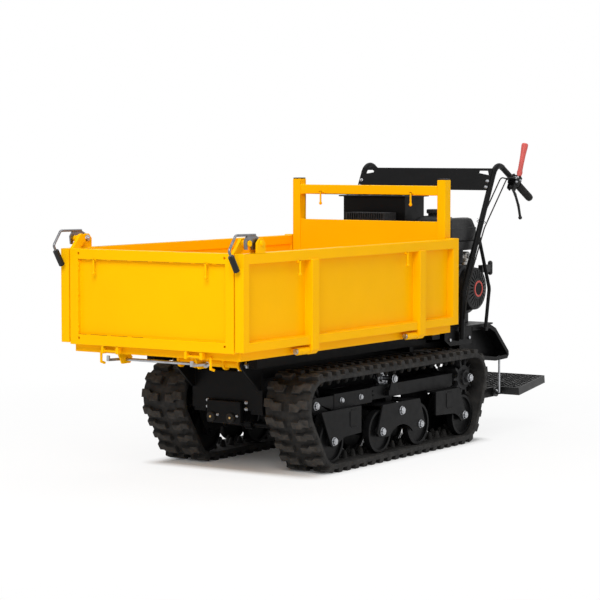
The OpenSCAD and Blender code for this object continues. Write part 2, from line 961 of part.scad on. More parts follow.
module lift_rod() {
  color(steel)
    placed()
      lift_frame(pin_a) {
        translate([0, 0, lift_eye_r + 6])
          cylinder(r = lift_rod_r, h = lift_len - lift_eye_r - 6);
        translate([0, 0, lift_len])
          rotate([90, 0, 0])
            cylinder(r = lift_eye_r, h = lift_eye_w, center = true);
        translate([0, 0, lift_len])
          rotate([90, 0, 0])
            cylinder(r = lift_pin_r, h = 2 * bed_cheek_out + 8, center = true);
      }
}

// Bed
module rope_hook(y, x, z, out) {
  rod([x, y, z], [x + out, y, z], 5);
  rod([x + out, y, z + 4], [x + out, y, z - 46], 4);
  translate([x + out, y, z - 48])
    sphere(r = 7);
}

module bed_frame() {
  back = head_back + 4;
  lug_x = [strap_1, strap_2];
  color(yellow)
    placed()
      difference() {
        union() {
          box([head_front + ledge, -floor_half, floor_low], [floor_front, floor_half, floor_top]);
          box([back, -floor_half, floor_low], [head_front + 2 * ledge, floor_half, floor_top - ledge]);
          box([floor_front - 40, -floor_half, rail_low], [floor_front, floor_half, floor_low + 1]);
          box([back, -floor_half, rail_low], [back + 40, floor_half, floor_low + 1]);
          both()
            box([back, floor_half - 40, rail_low], [floor_front, floor_half, floor_low + 1]);
          both()
            box([back, beam_y - beam_w / 2, beam_low], [beam_front, beam_y + beam_w / 2, floor_low + 1]);
          bar_y(pivot_tube_r, side_gap - pivot_in, pivot_in - side_gap, [pivot_x, pivot_z]);
          box([pivot_x - 32, -floor_half + 30, floor_low - 20], [pivot_x + 32, floor_half - 30, floor_low + 1]);
          both()
            for (y = ring_at)
              plate_xz(y, y + ring_t)
                union() {
                  translate([pivot_x, pivot_z])
                    circle(r = ring_r);
                  translate([pivot_x - ring_r, pivot_z])
                    square([2 * ring_r, floor_low - 10 - pivot_z]);
                }
          both()
            box([back + 90, 340, rail_low - 22], [back + 155, floor_half, rail_low + 1]);
          both()
            for (x = lug_x) {
              bar_x(knuckle_r, x + strap_w / 2 + side_gap, x + strap_w / 2 + knuckle_len, hinge_y, hinge_z);
              box([x + strap_w / 2 + side_gap, floor_half - 1, hinge_z - 8],
                  [x + strap_w / 2 + knuckle_len, hinge_y - 6, hinge_z + 8]);
            }
          both()
            plate_xz(bed_cheek_in, bed_cheek_out)
              difference() {
                translate([pin_b[0] - 44, pin_b[1] - 44])
                  square([88, floor_low + 1 - pin_b[1] + 44]);
                translate(pin_b)
                  circle(r = lift_pin_r + slot_free);
              }
          both()
            plate_xz(dog_y - 20, dog_y - 12)
              polygon([
                [floor_front - 2, rail_low + 6], [floor_front - 2, rail_low - 3], [shaft_x + 26, shaft_z - 16],
                [shaft_x - 24, shaft_z - 16], [shaft_x - 38, shaft_z + 8], [shaft_x - 12, rail_low + 6]
              ]);
          both() {
            rod([floor_front - 4, tie_y, rail_low + 8], [floor_front + 6, tie_y, rail_low + 8], 4);
            rod([floor_front + 6, tie_y, rail_low + 11], [floor_front + 6, tie_y, rail_low - 34], 5);
            translate([floor_front + 6, tie_y, rail_low - 34])
              sphere(r = 5.2);
            rod([floor_front + 6, tie_y, rail_low - 34], [floor_front - 16, tie_y, rail_low - 41], 5);
          }
        }
        both()
          bar_y(pivot_bolt_r + run_gap, pivot_in - 53, pivot_in + 2, [pivot_x, pivot_z]);
        both()
          for (x = lug_x)
            bar_x(hinge_pin_r, x, x + 120, hinge_y, hinge_z);
        bar_y(shaft_r + run_gap, -400, 400, [shaft_x, shaft_z]);
      }
}

module headboard() {
  sheet_top = bed_height + 444;
  bar_top = head_top - 26;
  front = head_front;
  foot = floor_top - ledge;
  outer = half_in - 4;
  color(yellow)
    placed() {
      both()
        box([head_back, outer - post_w, foot], [front, outer, head_top]);
      box([head_back + 5, -outer + post_w - 1, bar_top - 42], [front - 5, outer - post_w + 1, bar_top]);
      box([front - 14, -outer + post_w - 1, foot], [front - 8, outer - post_w + 1, sheet_top]);
      box([front - 32, -outer + post_w - 1, sheet_top - 24], [front - 8, outer - post_w + 1, sheet_top]);
      for (y = [-234, 234])
        rope_hook(y, front - 6, bar_top - 34, 24);
    }
}

module headboard_caps() {
  outer = half_in - 4;
  color(black)
    placed()
      both()
        box([head_back + 2, outer - post_w + 2, head_top], [head_front - 2, outer - 2, head_top + 5]);
}

module side_hinge_pins() {
  color(zinc)
    placed()
      both()
        for (x = [strap_1, strap_2]) {
          end = x + strap_w / 2 + knuckle_len;
          bar_x(hinge_pin_r, x - strap_w / 2 - 6, end + 4, hinge_y, hinge_z);
          bar_x(11, end + 0.5, end + 10, hinge_y, hinge_z);
        }
}

module latch_cheek() {
  polygon([
    [latch_x - 30, z_top - 8], [latch_x + 30, z_top - 8],
    [latch_x + 30, latch_z], [latch_x + 12, latch_z + 18],
    [latch_x - 12, latch_z + 18], [latch_x - 30, latch_z]
  ]);
}

module side_panel() {
  back = -bed_length;
  mid = half_in + sheet_inset;
  color(yellow)
    placed()
      difference() {
        union() {
          box([back, half_in, z_top - rail_width], [0, half_out, z_top]);
          box([back, half_in, bed_height], [0, half_out, bed_height + rail_width - 5]);
          box([-rail_width, half_in, bed_height], [0, half_out, z_top]);
          box([back, half_in, bed_height], [back + rail_width + 8, half_out, z_top + 4]);
          box([back, mid, bed_height], [0, mid + sheet_thick, z_top]);
          for (x = [strap_1, strap_2]) {
            box([x - strap_w / 2, mid, bed_height], [x + strap_w / 2, strap_out, z_top - rail_width + 2]);
            box([x - strap_w / 2, hinge_y - 12, hinge_z], [x + strap_w / 2, strap_out, bed_height + 2]);
            bar_x(17, x - strap_w / 2, x + strap_w / 2, hinge_y, hinge_z);
          }
          for (x = [-367, back + 443])
            translate([x, half_out - 8, z_top - rail_width - 4])
              rotate([0, 0, 90])
                rope_hook(0, 0, 0, 16);
          plate_xz(half_in + 4, half_in + 11)
            latch_cheek();
          plate_xz(half_out - 9, half_out - 2)
            latch_cheek();
          bar_y(latch_pin_r, half_in + 4, half_out + 2, [latch_x, latch_z]);
          hex_y(11, half_out - 2, half_out + 6, [latch_x, latch_z]);
        }
        for (x = [strap_1, strap_2])
          bar_x(hinge_pin_r + run_gap, x - strap_w, x + strap_w, hinge_y, hinge_z);
      }
}

module side_left() {
  side_panel();
}

module side_right() {
  mirror([0, 1, 0])
    side_panel();
}

module gate() {
  ear_in = gate_half - 14;
  hole_y = gate_half - 43;
  lug_off = 30;
  lug_t = 12;
  color(yellow)
    placed()
      difference() {
        union() {
          box([-gate_thick, -gate_half, z_top - rail_width], [0, gate_half, z_top]);
          box([-gate_thick, -gate_half, gate_low], [0, gate_half, bed_height + rail_width - 5]);
          both()
            box([-gate_thick, gate_half - rail_width, gate_low], [0, gate_half, z_top]);
          box([-gate_thick / 2 - sheet_thick, -gate_half, gate_low],
              [-gate_thick / 2, gate_half, z_top]);
          both()
            plate_xz(ear_in, gate_half)
              union() {
                polygon([
                  [-gate_thick, z_top - 20], [0, z_top - 20], [0, z_top],
                  [gate_pin_x + 18, gate_pin_z + 8], [gate_pin_x - 18, gate_pin_z - 8]
                ]);
                translate([gate_pin_x, gate_pin_z])
                  circle(r = 20);
              }
          both()
            bar_y(gate_pin_r, ear_in, latch_y + latch_t / 2 + 5, [gate_pin_x, gate_pin_z]);
          both()
            for (y = [dog_y - lug_off - lug_t, dog_y + lug_off])
              box([striker_x - 13, y, striker_z - 10], [striker_x + 13, y + lug_t, gate_low + 4]);
          both()
            bar_y(striker_r, dog_y - lug_off - lug_t / 2, dog_y + lug_off + lug_t / 2, [striker_x, striker_z]);
          for (y = [-270, 270])
            rope_hook(y, -6, z_top - rail_width - 4, 12);
        }
        for (y = [-hole_y, hole_y])
          for (z = [bed_height + rail_width / 2, z_top - rail_width / 2 + 2])
            bar_x(5, -gate_thick - 1, 1, y, z);
      }
}

module release_shaft() {
  boss = 12;
  claw = hook_far + striker_r + 1.5;
  claw_t = 8;
  claw_rise = 17;
  color(zinc)
    placed() {
      bar_y(shaft_r, -dog_y - 14, dog_y + 14, [shaft_x, shaft_z]);
      both()
        plate_xz(dog_y - 6, dog_y + 6)
          translate([shaft_x, shaft_z])
            rotate(hook_rest)
              union() {
                circle(r = boss);
                translate([0, -dog_half])
                  square([claw + claw_t, 2 * dog_half]);
                translate([claw, -dog_half])
                  square([claw_t, dog_half + claw_rise]);
              }
    }
}

module latch() {
  reach = gate_pin_x - latch_x;
  free = gate_pin_r + notch_gap;
  open_angle = 40;
  far = 3 * reach;
  color(zinc)
    placed() {
      plate_xz(latch_y - latch_t / 2, latch_y + latch_t / 2)
        difference() {
          polygon([
            [latch_x - 20, latch_z - 14], [latch_x + 14, latch_z - 22], [gate_pin_x - 18, latch_z - 24],
            [gate_pin_x + 26, latch_z - 22], [gate_pin_x + 30, latch_z + 10], [gate_pin_x + 14, latch_z + 29],
            [latch_x + 14, latch_z + 29], [latch_x - 20, latch_z + 14]
          ]);
          translate([latch_x, latch_z])
            circle(r = latch_pin_r + run_gap);
          translate([gate_pin_x, gate_pin_z])
            circle(r = free + 0.4);
          translate([latch_x, latch_z])
            rotate(-open_angle)
              difference() {
                intersection() {
                  circle(r = reach + free);
                  polygon([[0, 0], [far, 0], [far * cos(open_angle), far * sin(open_angle)]]);
                }
                circle(r = reach - free);
              }
        }
      bent_rod(lever_path, latch_y, rod_r, 14);
    }
}

module latch_left() {
  latch();
}

module latch_right() {
  mirror([0, 1, 0])
    latch();
}

module latch_grip() {
  run = way(lever_path, 2);
  from = grip_end - run * 62;
  to = grip_end + run * 6;
  color(black)
    placed()
      difference() {
        rod([from[0], latch_y, from[1]], [to[0], latch_y, to[1]], 12);
        rod([from[0] - 9 * run[0], latch_y, from[1] - 9 * run[1]], [grip_end[0], latch_y, grip_end[1]], rod_r);
      }
}

module latch_grip_left() {
  latch_grip();
}

module latch_grip_right() {
  mirror([0, 1, 0])
    latch_grip();
}

// Deck and engine
function cowl(w) = [
  [cowl_x, deck_low - w], [cowl_x - 172 + w / 3, deck_low - w], [cowl_x - 222 + w / 2, deck_low - 20 - w],
  [cowl_x - 346 + w, cowl_low + 37 - w / 2], [cowl_x - 348 + w, cowl_low + 19],
  [cowl_x - 334 + w, cowl_low + 3 + w], [cowl_x - 223, cowl_low + w], [cowl_x, cowl_low + 29 + w]
];

module rear_cowl() {
  recess = 70;
  color(black)
    placed()
      difference() {
        union() {
          box([deck_x - 440, -deck_half, deck_low], [deck_x, deck_half, deck_height]);
          both()
            plate_xz(deck_half - 4, deck_half)
              polygon([
                [cowl_x + 5, skirt_low], [deck_x - 50, skirt_low], [deck_x, deck_low - 45],
                [deck_x, deck_low + 1], [cowl_x + 5, deck_low + 1]
              ]);
          both()
            box([deck_x - 30, rail_out - 30, upper_high], [deck_x - 20, rail_out + 10, deck_low + 1]);
          difference() {
            plate_xz(-deck_half, deck_half)
              polygon(cowl(0));
            plate_xz(-deck_half + recess, deck_half - recess)
              polygon(cowl(cowl_wall));
            box([cowl_x - 330, -deck_half + recess + 2, cowl_low - 30],
                [cowl_x + 10, deck_half - recess - 2, cowl_low + 71]);
          }
          both()
            bar_x(16, cowl_x - 352, cowl_x - 322, deck_half - 40, cowl_low + 61);
          for (y = [gear_y - 20, gear_y + 12])
            box([gear_at[0] - 12, y, deck_low + 1], [gear_at[0] + 12, y + 8, gear_at[1] + 12]);
          bar_y(gear_pin_r, gear_y - 20, gear_y + 20, gear_at);
        }
        both()
          plate_xz(deck_half - recess + cowl_wall, deck_half - cowl_wall)
            polygon(cowl(cowl_wall));
        both()
          plate_xz(deck_half - cowl_wall - 1, deck_half + 1)
            polygon(cowl(18));
        box([gear_at[0] - 27, gear_y - 9, deck_low - cowl_wall - 1],
            [gear_at[0] + 27, gear_y + 9, deck_height + 1]);
        bar_z(5 + run_gap, cowl_low - 30, cowl_low + 21, [lock_x, lock_y]);
      }
}

module deck_bolts() {
  color(zinc)
    placed() {
      both()
        for (x = [deck_x - 45, deck_x - 140, deck_x - 217])
          hex_y(8, deck_half, deck_half + 6, [x, skirt_bolt_z]);
      for (x = [-190 : 76 : 190])
        translate([deck_x - 150, x / 190 * 150 - 125, hydro_top + 6])
          cylinder(r = 6, h = 5, $fn = 6);
    }
}

module engine_block() {
  color(cast)
    placed() {
      box([crank_x - 95, engine_in, deck_height], [crank_x + 100, engine_out, deck_height + 40]);
      box([crank_x - 80, engine_in, deck_height + 30], [crank_x + 90, engine_out, crank_z + 70]);
      translate([crank_x, 0, crank_z])
        rotate([0, cylinder_lean, 0]) {
          box([-55, engine_in + 12, 60], [55, engine_out - 12, head_end]);
          for (z = [70 : 14 : head_end - 8])
            box([-68, engine_in + 6, z], [68, engine_out - 6, z + 5]);
        }
      box([crank_x + 40, engine_in + 20, crank_z + 60], [crank_x + 120, engine_out - 10, tank_low]);
    }
}

module starter_cover() {
  at = [crank_x, crank_z];
  r = starter_r;
  badge = 36;
  color(black)
    placed()
      difference() {
        union() {
          turned_y(at, [
            [0, engine_out], [r + 18, engine_out], [r + 22, engine_out + 12], [r + 14, engine_out + 46],
            [r, engine_out + 52], [r - 6, starter_y - 12], [r - 22, starter_y - 4],
            [badge, starter_y], [0, starter_y]
          ]);
          box([at[0] - r - boss_out, starter_y - 24, at[1] + 70],
              [at[0] - 40, starter_y - 2, at[1] + 104]);
        }
        for (k = [0 : 23])
          translate([at[0], 0, at[1]])
            rotate([0, k * 15, 0])
              box([badge + 10, starter_y - 9, -3], [r - 16, starter_y + 2, 3]);
      }
}

module starter_handle() {
  seat = [crank_x - starter_r - boss_out - touch, starter_y - 13, crank_z + 88];
  bar = 22;
  r = 11;
  color(black)
    placed()
      translate(seat)
        union() {
          rotate([0, -90, 0])
            cylinder(r1 = 8, r2 = r, h = 16);
          translate([-16, 0, -bar])
            cylinder(r = r, h = 2 * bar);
          for (z = [-bar, bar])
            translate([-16, 0, z])
              sphere(r = r);
        }
}

module fuel_tank() {
  low = tank_low;
  color(black)
    placed()
      difference() {
        union() {
          box([deck_x - 320, hydro_in + 28, low], [deck_x - 110, starter_y - 94, low + 95]);
          box([deck_x - 306, hydro_in + 42, low + 90], [deck_x - 124, starter_y - 108, low + 118]);
          bar_z(30, low + 110, low + 126, tank_neck);
        }
        bar_z(12, low + 100, low + 140, tank_neck);
      }
}

module fuel_cap() {
  low = tank_low;
  color(cast)
    placed()
      union() {
        bar_z(34, low + 126.5, low + 146, tank_neck);
        bar_z(11.95, low + 112, low + 128, tank_neck);
        for (k = [0 : 11])
          translate([tank_neck[0], tank_neck[1], low + 128])
            rotate([0, 0, k * 30])
              translate([33, -3, 0])
                cube([4, 6, 16]);
      }
}

module air_cleaner() {
  low = cleaner_low;
  color(black)
    placed() {
      box([deck_x - 300, starter_y - 88, low], [deck_x - 64, starter_y - 8, low + 62]);
      box([deck_x - 294, starter_y - 84, low + 60], [deck_x - 70, starter_y - 12, low + 104]);
      box([deck_x - 314, starter_y - 85, low - 41], [deck_x - 130, starter_y - 14, low + 1]);
      box([deck_x - 200, starter_y - 86, low - 100], [deck_x - 135, starter_y - 20, low - 40]);
      box([deck_x - 190, engine_out - 6 + touch, low - 90], [deck_x - 140, starter_y - 80, low - 30]);
    }
}

module muffler() {
  low = muffler_low;
  pipe_x = deck_x - 104;
  pipe_y = engine_in + 20;
  color(cast)
    placed() {
      difference() {
        box([deck_x - 125, -206, low], [deck_x - 25, 2, low + 111]);
        box([deck_x - 121, -202, low + 4], [deck_x - 29, -2, low + 107]);
        for (y = [-196 : 12 : -12])
          box([deck_x - 60, y, low + 14], [deck_x - 20, y + 6, low + 120]);
      }
      box([deck_x - 110, -190, low + 3], [deck_x - 66, -14, low + 84]);
      box([pipe_x, -6, low + 10], [pipe_x + 24, pipe_y + 20, low + 40]);
      box([pipe_x, pipe_y, low - 100], [pipe_x + 24, pipe_y + 20, low + 20]);
      translate([crank_x, 0, crank_z])
        rotate([0, cylinder_lean, 0])
          box([-12, pipe_y, head_end + touch], [12, pipe_y + 20, head_end + 66]);
    }
}

module hydraulic_tank() {
  color(black)
    placed() {
      difference() {
        box([hydro_x - 170, hydro_out, deck_height], [hydro_x, hydro_in, hydro_top]);
        box([hydro_x - 166, hydro_out + 4, deck_height + 4], [hydro_x - 4, hydro_in - 4, hydro_top - 4]);
      }
      box([hydro_x - 184, hydro_out - 18, hydro_top], [hydro_x + 14, hydro_in + 18, hydro_top + 6]);
      bar_z(14, hydro_top + 5, hydro_top + 28, [hydro_x - 120, -60]);
      box([hydro_x - 220, -190, hydro_top - 200], [hydro_x - 169, -110, hydro_top - 110]);
      both_cheeks();
    }
}

module both_cheeks() {
  for (y = [-172, -136])
    difference() {
      box([hydro_x - 215, y, hydro_top - 112], [hydro_x - 185, y + 8, hydro_top - 70]);
      bar_y(5, y - 1, y + 9, [hydro_x - 200, hydro_top - 85]);
    }
  bar_y(5, -172, -128, [hydro_x - 200, hydro_top - 85]);
}

module tip_lever() {
  at = [hydro_x - 200, hydro_top - 85];
  color(zinc)
    placed()
      difference() {
        union() {
          bar_y(11, -160, -140, at);
          rod([at[0] - 6, -150, at[1] + 6], [at[0] - 64, -150, at[1] + 64], 4);
          translate([at[0] - 70, -150, at[1] + 70])
            rotate([0, -45, 0])
              sphere(r = 16);
        }
        bar_y(5 + run_gap, -170, -130, at);
      }
}

module gear_lever() {
  at = gear_at;
  color(zinc)
    placed()
      difference() {
        union() {
          bar_y(12, gear_y - 8, gear_y + 8, at);
          rod([at[0] - 1.4, gear_y, at[1] + 9], [at[0] - 50, gear_y, at[1] + 330], 5);
          translate([at[0] - 51, gear_y, at[1] + 336])
            sphere(r = 17);
          rod([at[0] + 0.3, gear_y, at[1] - 9], [at[0] + 2, gear_y, at[1] - 70], 5);
        }
        bar_y(gear_pin_r + run_gap, gear_y - 20, gear_y + 20, at);
      }
}

module handlebars() {
  color(black)
    placed() {
      both() {
        bent_rod(bar_path, bar_y, bar_r, bar_bend);
        bent_rod([
          brace_top, [deck_x - 372, crank_z - 2], [deck_x - 338, deck_height - 22]
        ], bar_y, 8, 40);
        box([deck_x - 126, deck_half, deck_height - 60], [deck_x - 98, bar_y, deck_height - 20]);
        box([deck_x - 350, deck_half, deck_height - 30], [deck_x - 326, bar_y + 8, deck_height - 14]);
        translate([block_at[0], bar_y, block_at[1]])
          rotate([0, -block_tilt, 0]) {
            box([-20, -20, -20], [26, 20, 20]);
            box([-4, -17, -48], [24, -11, -18]);
            box([-4, 11, -48], [24, 17, -18]);
          }
        bar_y(lever_pin_r, bar_y - 17, bar_y + 17, trigger_at);
      }
      translate([block_at[0], bar_y, block_at[1]])
        rotate([0, -block_tilt, 0]) {
          box([-34, -17, 8], [-8, -11, 34]);
          box([-34, 11, 8], [-8, 17, 34]);
        }
      bar_y(lever_pin_r, bar_y - 17, bar_y + 17, drive_at);
    }
}

module control_panel() {
  half = bar_y;
  tall = 110;
  low = bar_knee + bar_way * panel_along + (bar_r + panel_gap) * [bar_way[1], -bar_way[0]];
  color(black)
    placed()
      translate([low[0], 0, low[1]])
        rotate([0, -bar_lean, 0])
          difference() {
            box([0, -half, 0], [3, half, tall]);
            both()
              translate([-1, half - 12, tall - 34])
                rotate([0, 90, 0])
                  linear_extrude(height = 6)
                    polygon([[0, 0], [-22, -10], [-22, -52], [-10, -52]]);
            both()
              for (z = [14, 44])
                translate([-1, half - 10, z])
                  rotate([0, 90, 0])
                    cylinder(r = 4, h = 6);
          }
}

module grips() {
  from = grip_at;
  to = grip_at + grip_dir * (grip_length + 4);
  color(rubber)
    placed()
      both()
        difference() {
          union() {
            rod([from[0], bar_y, from[1]], [to[0], bar_y, to[1]], grip_r);
            for (k = [0 : 8])
              translate([from[0], bar_y, from[1]] + (k + 1) * 13 * [grip_dir[0], 0, grip_dir[1]])
                rotate([0, 90 + atan2(-grip_dir[1], grip_dir[0]), 0])
                  cylinder(r = grip_r + 1.2, h = 5);
          }
          rod([from[0], bar_y, from[1]] - 9 * [grip_dir[0], 0, grip_dir[1]],
              [bar_end[0], bar_y, bar_end[1]], bar_r);
        }
}

module trigger() {
  at = trigger_at;
  color(black)
    placed()
      difference() {
        union() {
          bar_y(11, bar_y - 8, bar_y + 8, at);
          bent_rod([at, at + [-34, -34], at + [-66, -86], at + [-84, -140]], bar_y, 6, 30);
          translate([at[0] - 84, bar_y, at[1] - 142])
            sphere(r = 9);
        }
        bar_y(lever_pin_r + run_gap, bar_y - 30, bar_y + 30, at);
      }
}

module trigger_left() {
  trigger();
}

module trigger_right() {
  mirror([0, 1, 0])
    trigger();
}

module drive_lever() {
  at = drive_at;
  dir = [-0.36, 0.933];
  color(red)
    placed()
      difference() {
        union() {
          bar_y(10, bar_y - 9, bar_y + 9, at);
          rod([at[0], bar_y, at[1]], [at[0] + dir[0] * 60, bar_y, at[1] + dir[1] * 60], 7);
          translate([at[0] + dir[0] * 30, bar_y, at[1] + dir[1] * 30])
            rotate([0, atan2(dir[0], dir[1]), 0])
              cylinder(r1 = 9, r2 = 13, h = 145);
        }
        bar_y(lever_pin_r + run_gap, bar_y - 30, bar_y + 30, at);
      }
}

module cables() {
  cable_r = 3;
  beside = bar_r * knee + cable_r + 0.4;
  color(black)
    placed()
      both()
        for (side = [-1, 1])
          bent_rod([
            on_block(27.5, 4 * side), on_block(96, -30), bar_knee + bar_way * 330 - [14, 0],
            bar_knee + bar_way * 120, bar_knee - [0, 30], bar_foot + [0, 90]
          ], bar_y + side * beside, cable_r, 40);
}

module platform() {
  half = platform_width / 2;
  rim = 36;
  color(black)
    placed()
      translate([hinge_x, 0, hinge_pz])
        rotate([0, platform_slope, 0])
          difference() {
            union() {
              difference() {
                box([-platform_depth, -half, -rim + 20], [-hinge_r - side_gap, half, 20]);
                box([-platform_depth + 5, -half + 5, -rim + 19], [-hinge_r - side_gap - 5, half - 5, 21]);
              }
              for (x = [-platform_depth + 36 : 38 : -40])
                box([x, -half + 4, 8], [x + 5, half - 4, 18]);
              for (y = [-half + 60 : 63 : half - 40])
                box([-platform_depth + 4, y, 6], [-28, y + 5, 16]);
              both()
                plate_xz(arm_y + arm_t + side_gap, arm_y + arm_t + side_gap + 12)
                  union() {
                    circle(r = hinge_r);
                    translate([-60, -14])
                      square([60, 28]);
                  }
            }
            both()
              bar_y(platform_pin_r + run_gap, arm_y, arm_y + 80, [0, 0]);
          }
}

module lock_rod() {
  seat = cowl_low + 7;
  color(zinc)
    placed() {
      bar_z(5, hinge_pz + 8, seat + 6, [lock_x, lock_y]);
      bar_z(9, seat, seat + 8, [lock_x, lock_y]);
      rod([lock_x, lock_y, hinge_pz + 12], [lock_x - 45, lock_y - 38, hinge_pz + 12], 5);
    }
}

chassis_frame();
front_bumper();
track_frame_left();
track_frame_right();
track_left();
track_right();
rocker_left();
rocker_right();
sprocket_left();
sprocket_right();
idler_left();
idler_right();
roller_left_1();
roller_left_2();
roller_left_3();
roller_left_4();
roller_right_1();
roller_right_2();
roller_right_3();
roller_right_4();
carrier_left();
carrier_right();
gearbox();
tip_pins();
lift_barrel();
lift_rod();
bed_frame();
headboard();
headboard_caps();
side_hinge_pins();
side_left();
side_right();
gate();
release_shaft();
latch_left();
latch_right();
latch_grip_left();
latch_grip_right();
rear_cowl();
deck_bolts();
engine_block();
starter_cover();
starter_handle();
fuel_tank();
fuel_cap();
air_cleaner();
muffler();
hydraulic_tank();
tip_lever();
gear_lever();
handlebars();
control_panel();
grips();
trigger_left();
trigger_right();
drive_lever();
cables();
platform();
lock_rod();
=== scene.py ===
"""Looks of a tracked power carrier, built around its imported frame. Lengths are metres."""
import json
import math

import bmesh
import bpy
from mathutils import Matrix, Vector


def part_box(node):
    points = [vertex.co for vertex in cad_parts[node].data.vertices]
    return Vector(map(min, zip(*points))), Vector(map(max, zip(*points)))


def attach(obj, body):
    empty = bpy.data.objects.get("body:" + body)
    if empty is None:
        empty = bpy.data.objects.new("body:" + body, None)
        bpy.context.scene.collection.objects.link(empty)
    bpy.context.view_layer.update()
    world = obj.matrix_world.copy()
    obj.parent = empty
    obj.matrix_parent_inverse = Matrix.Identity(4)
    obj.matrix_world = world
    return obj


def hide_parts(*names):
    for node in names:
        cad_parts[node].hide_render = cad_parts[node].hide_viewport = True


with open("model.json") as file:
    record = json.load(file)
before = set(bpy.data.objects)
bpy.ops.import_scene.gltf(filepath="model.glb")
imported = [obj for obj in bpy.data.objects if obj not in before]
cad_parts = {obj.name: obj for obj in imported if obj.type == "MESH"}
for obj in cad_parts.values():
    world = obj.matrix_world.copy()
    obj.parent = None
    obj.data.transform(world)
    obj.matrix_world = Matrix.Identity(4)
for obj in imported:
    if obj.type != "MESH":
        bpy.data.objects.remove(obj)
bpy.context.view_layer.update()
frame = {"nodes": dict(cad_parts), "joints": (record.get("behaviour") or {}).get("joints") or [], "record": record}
NODES = frame["nodes"]
RECORD = frame["record"]
JOINTS = {joint["name"]: joint for joint in frame["joints"]}
SLOT_OF = {part["node"]: part["material_slot"] for part in RECORD["subparts"]}
SIDES = {"left": 1, "right": -1}


# Camera: a long lens a little above the rim of the bed
AZIMUTH = math.radians(123.76)
ELEVATION = math.radians(4.0)
LENS = 131.4
SENSOR = 36.0
SIGHT = 60
CAMERA_AT = Vector((7.908, 5.130, 1.306))


def add_camera():
    back = Vector((
        math.sin(AZIMUTH) * math.cos(ELEVATION),
        -math.cos(AZIMUTH) * math.cos(ELEVATION),
        math.sin(ELEVATION),
    ))
    right = Vector((math.cos(AZIMUTH), math.sin(AZIMUTH), 0))
    up = back.cross(right)
    data = bpy.data.cameras.new("camera")
    data.lens = LENS
    data.sensor_width = SENSOR
    data.clip_end = SIGHT
    camera = bpy.data.objects.new("camera", data)
    turn = Matrix((right, up, back)).transposed().to_4x4()
    camera.matrix_world = Matrix.Translation(CAMERA_AT) @ turn
    bpy.context.scene.collection.objects.link(camera)
    bpy.context.scene.camera = camera


# Node helpers
def new_material(name):
    material = bpy.data.materials.new(name)
    material.use_nodes = True
    tree = material.node_tree
    shader = tree.nodes["Principled BSDF"]
    return material, tree, shader


def add_node(tree, kind, **values):
    node = tree.nodes.new(kind)
    for key, value in values.items():
        if hasattr(node, key):
            setattr(node, key, value)
        else:
            node.inputs[key.replace("_", " ")].default_value = value
    return node


def noise(tree, scale, detail=3.0, stretch=(1, 1, 1)):
    """Noise that stays on the piece, because it reads the piece's own coordinates."""
    place = add_node(tree, "ShaderNodeTexCoord")
    mapping = add_node(tree, "ShaderNodeMapping")
    mapping.inputs["Scale"].default_value = stretch
    texture = add_node(tree, "ShaderNodeTexNoise")
    texture.inputs["Scale"].default_value = scale
    texture.inputs["Detail"].default_value = detail
    tree.links.new(place.outputs["Object"], mapping.inputs["Vector"])
    tree.links.new(mapping.outputs["Vector"], texture.inputs["Vector"])
    return texture.outputs["Fac"]


def spread(tree, value, low, high, start=0.35, end=0.65):
    """Maps a value between start and end to the range from low to high."""
    ranged = add_node(tree, "ShaderNodeMapRange")
    ranged.inputs["From Min"].default_value = start
    ranged.inputs["From Max"].default_value = end
    ranged.inputs["To Min"].default_value = low
    ranged.inputs["To Max"].default_value = high
    tree.links.new(value, ranged.inputs["Value"])
    return ranged.outputs["Result"]


def mix_colour(tree, factor, first, second):
    mixed = add_node(tree, "ShaderNodeMix")
    mixed.data_type = "RGBA"
    tree.links.new(factor, mixed.inputs["Factor"])
    for socket, colour in ((mixed.inputs[6], first), (mixed.inputs[7], second)):
        if isinstance(colour, tuple):
            socket.default_value = (*colour, 1)
        else:
            tree.links.new(colour, socket)
    return mixed.outputs[2]


def shade(colour, share):
    return tuple(min(1, channel * share) for channel in colour)


def bump(tree, shader, height, strength, depth):
    node = add_node(tree, "ShaderNodeBump")
    node.inputs["Strength"].default_value = strength
    node.inputs["Distance"].default_value = depth
    tree.links.new(height, node.inputs["Height"])
    tree.links.new(node.outputs["Normal"], shader.inputs["Normal"])


# Materials
def coated(name, colour, rough, sheen, grain=700, cloud=0.06, beam_shade_colour=None):
    """Powder coat: fine orange peel, and a slightly uneven shade and gloss.

    Where a colour is given for it, the long beams under the floor frame get that colour as painted shade: a flat
    dark that stands in for the deep shade under the floor.
    """
    material, tree, shader = new_material(name)
    tone = spread(tree, noise(tree, scale=5.0), 0, 1)
    paint = mix_colour(tree, tone, shade(colour, 1 - cloud), shade(colour, 1 + cloud))
    if beam_shade_colour:
        paint = mix_colour(tree, beam_shade_mask(tree), paint, beam_shade_colour)
    tree.links.new(paint, shader.inputs["Base Color"])
    shader.inputs["Specular IOR Level"].default_value = sheen
    tree.links.new(
        spread(tree, noise(tree, scale=30), rough - 0.05, rough + 0.06),
        shader.inputs["Roughness"],
    )
    bump(tree, shader, noise(tree, grain, detail=2), strength=0.12, depth=0.0004)
    return material


# Bounds of the long beams under the floor frame, which take the painted shade
BEAM_TOP = 0.4995
BEAM_FRONT = 0.945
BEAM_INNER = 0.2


